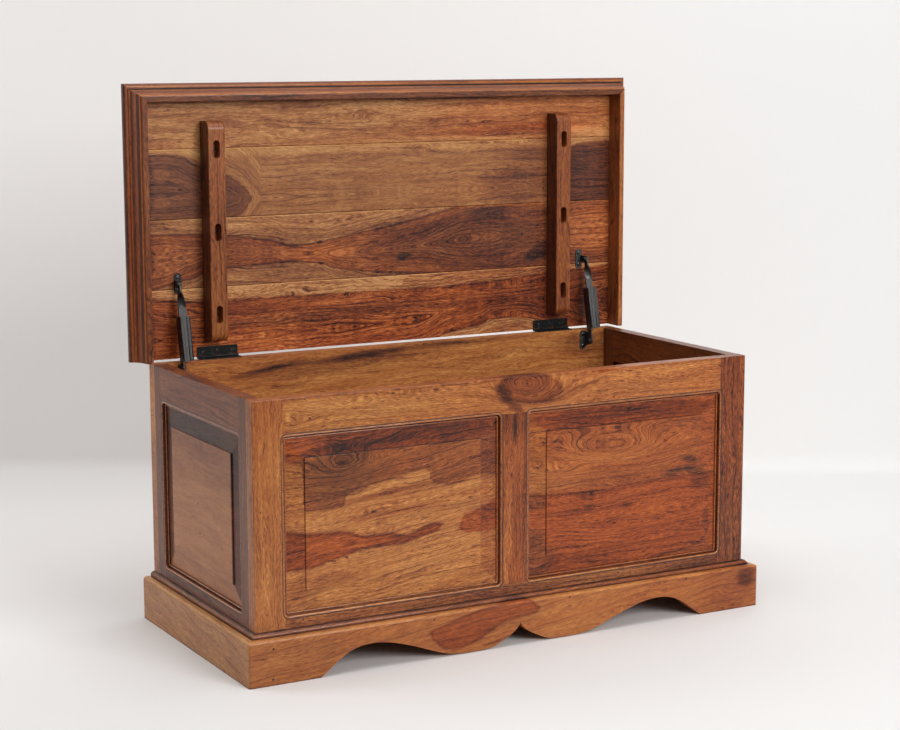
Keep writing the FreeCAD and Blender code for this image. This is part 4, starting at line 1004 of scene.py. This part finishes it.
# Camera where the photograph was taken from
SENSOR_WIDTH = 36.0
FOCAL_PIXELS = 2027.45
PHOTO_WIDTH = 900
CAMERA_PLACE = Vector((-1.79192, -3.23768, 1.05562))
CAMERA_YAW = math.radians(28.96)
CAMERA_PITCH = math.radians(9.04)
CAMERA_ROLL = math.radians(-0.13)


def make_camera():
    ahead = Vector((math.sin(CAMERA_YAW) * math.cos(CAMERA_PITCH),
                    math.cos(CAMERA_YAW) * math.cos(CAMERA_PITCH), -math.sin(CAMERA_PITCH)))
    level = Vector((math.cos(CAMERA_YAW), -math.sin(CAMERA_YAW), 0))
    upright = level.cross(ahead)
    right = level * math.cos(CAMERA_ROLL) + upright * math.sin(CAMERA_ROLL)
    top = upright * math.cos(CAMERA_ROLL) - level * math.sin(CAMERA_ROLL)
    data = bpy.data.cameras.new("photo_camera")
    data.sensor_width = SENSOR_WIDTH
    data.lens = SENSOR_WIDTH * FOCAL_PIXELS / PHOTO_WIDTH
    data.clip_end = 100
    camera = put_in_scene("photo_camera", data)
    turn = Matrix((right, top, -ahead)).transposed().to_4x4()
    camera.matrix_world = Matrix.Translation(CAMERA_PLACE) @ turn
    bpy.context.scene.camera = camera


make_camera()


# Pale sweep of floor and wall, seen from the front only. It is darker to the left and paler to the right, a painted
# falloff of light.
SWEEP_SHADED_LEFT = from_screen(228, 225, 223)
SWEEP_LIT_RIGHT = from_screen(241, 240, 239)
FLOOR_AHEAD_SHADE = from_screen(96, 96, 97)
SIDE_LIGHT_FALLOFF = (-3.0, 1.5)
AHEAD_FADE = (-0.85, -1.7)
FLOOR_START = -9.0
WALL_DISTANCE = 1.25
WALL_HEIGHT = 6.0
COVE_RADIUS = 0.04
COVE_STEPS = 14
SWEEP_HALF_WIDTH = 9.0


def make_sweep():
    made, tree, shader = start_material("pale_sweep")
    tree.nodes.remove(shader)
    out = tree.nodes["Material Output"]
    parts = parts_of(tree, own_place(tree))
    tone = mixed(tree, span(tree, parts["X"], *SIDE_LIGHT_FALLOFF), SWEEP_SHADED_LEFT, SWEEP_LIT_RIGHT)
    # The floor falls off to grey ahead of what the camera sees, a painted falloff of light.
    beside = times(tree, parts["X"], math.sin(CAMERA_YAW))
    ahead = times_plus(tree, parts["Y"], math.cos(CAMERA_YAW), beside)
    tone = mixed(tree, span(tree, ahead, *AHEAD_FADE), tone, FLOOR_AHEAD_SHADE)
    pale = add_node(tree, "ShaderNodeBsdfDiffuse", {"Color": tone})
    clear = add_node(tree, "ShaderNodeBsdfTransparent")
    rear = add_node(tree, "ShaderNodeNewGeometry").outputs["Backfacing"]
    mix = add_node(tree, "ShaderNodeMixShader", {"Fac": rear})
    tree.links.new(pale.outputs[0], mix.inputs[1])
    tree.links.new(clear.outputs[0], mix.inputs[2])
    tree.links.new(mix.outputs[0], out.inputs["Surface"])

    # The section runs over the floor away from the camera, round a cove and up the wall.
    section = [(FLOOR_START, 0.0)]
    for step in range(COVE_STEPS + 1):
        angle = math.pi / 2 * step / COVE_STEPS
        section.append((WALL_DISTANCE - COVE_RADIUS + COVE_RADIUS * math.sin(angle),
                        COVE_RADIUS - COVE_RADIUS * math.cos(angle)))
    section.append((WALL_DISTANCE, WALL_HEIGHT))
    away = Vector((math.sin(CAMERA_YAW), math.cos(CAMERA_YAW), 0))
    level = Vector((math.cos(CAMERA_YAW), -math.sin(CAMERA_YAW), 0))
    points, faces = [], []
    for distance, height in section:
        for sign in (-1, 1):
            points.append(away * distance + level * SWEEP_HALF_WIDTH * sign + Vector((0, 0, height)))
    for row in range(len(section) - 1):
        low = row * 2
        faces.append((low, low + 1, low + 3, low + 2))
    mesh = bpy.data.meshes.new("pale_sweep")
    mesh.from_pydata(points, [], faces)
    mesh.materials.append(made)
    for polygon in mesh.polygons:
        polygon.use_smooth = True
    sweep = put_in_scene("pale_sweep", mesh)


# Lamps: name, place, target, width and height, power
LAMPS = [("front_softbox", (0.9, -4.2, 2.2), (0, 0, 0.5), (2.2, 1.8), 122),
         ("top_softbox", (-0.3, -0.5, 3.4), (-0.3, -0.1, 0), (3.0, 2.4), 43),
         ("left_softbox", (-2.3, 1.3, 1.7), (-0.5, 0.1, 0.2), (1.2, 1.6), 20),
         ("wall_light", (0.4, -0.4, 3.0), (0.1, 1.6, 1.0), (2.4, 0.8), 10)]
AMBIENT_COLOUR = (0.98, 0.99, 1.0, 1)
AMBIENT = 0.2
SEEN_DIRECTLY = 0.65


def add_light(name, place, target, size, power):
    data = bpy.data.lights.new(name, "AREA")
    data.shape = "RECTANGLE"
    data.size, data.size_y = size
    data.energy = power
    light = put_in_scene(name, data)
    aim = Vector(target) - Vector(place)
    light.visible_camera = False
    light.location = place
    light.rotation_euler = aim.to_track_quat("-Z", "Y").to_euler()


make_sweep()
for lamp in LAMPS:
    add_light(*lamp)


def make_world():
    world = bpy.data.worlds.new("studio")
    bpy.context.scene.world = world
    world.use_nodes = True
    tree = world.node_tree
    backdrop = tree.nodes["Background"]
    backdrop.inputs["Color"].default_value = AMBIENT_COLOUR
    path = add_node(tree, "ShaderNodeLightPath").outputs
    direct = maths(tree, "MAXIMUM", path["Is Camera Ray"], path["Is Transmission Ray"])
    direct = maths(tree, "MAXIMUM", direct, path["Is Glossy Ray"])
    seen = add_node(tree, "ShaderNodeMix", data_type="FLOAT")
    feed(tree, seen.inputs[0], direct)
    feed(tree, seen.inputs[2], AMBIENT)
    feed(tree, seen.inputs[3], SEEN_DIRECTLY)
    feed(tree, backdrop.inputs["Strength"], seen.outputs[0])


make_world()

bpy.context.scene.view_settings.view_transform = "Standard"
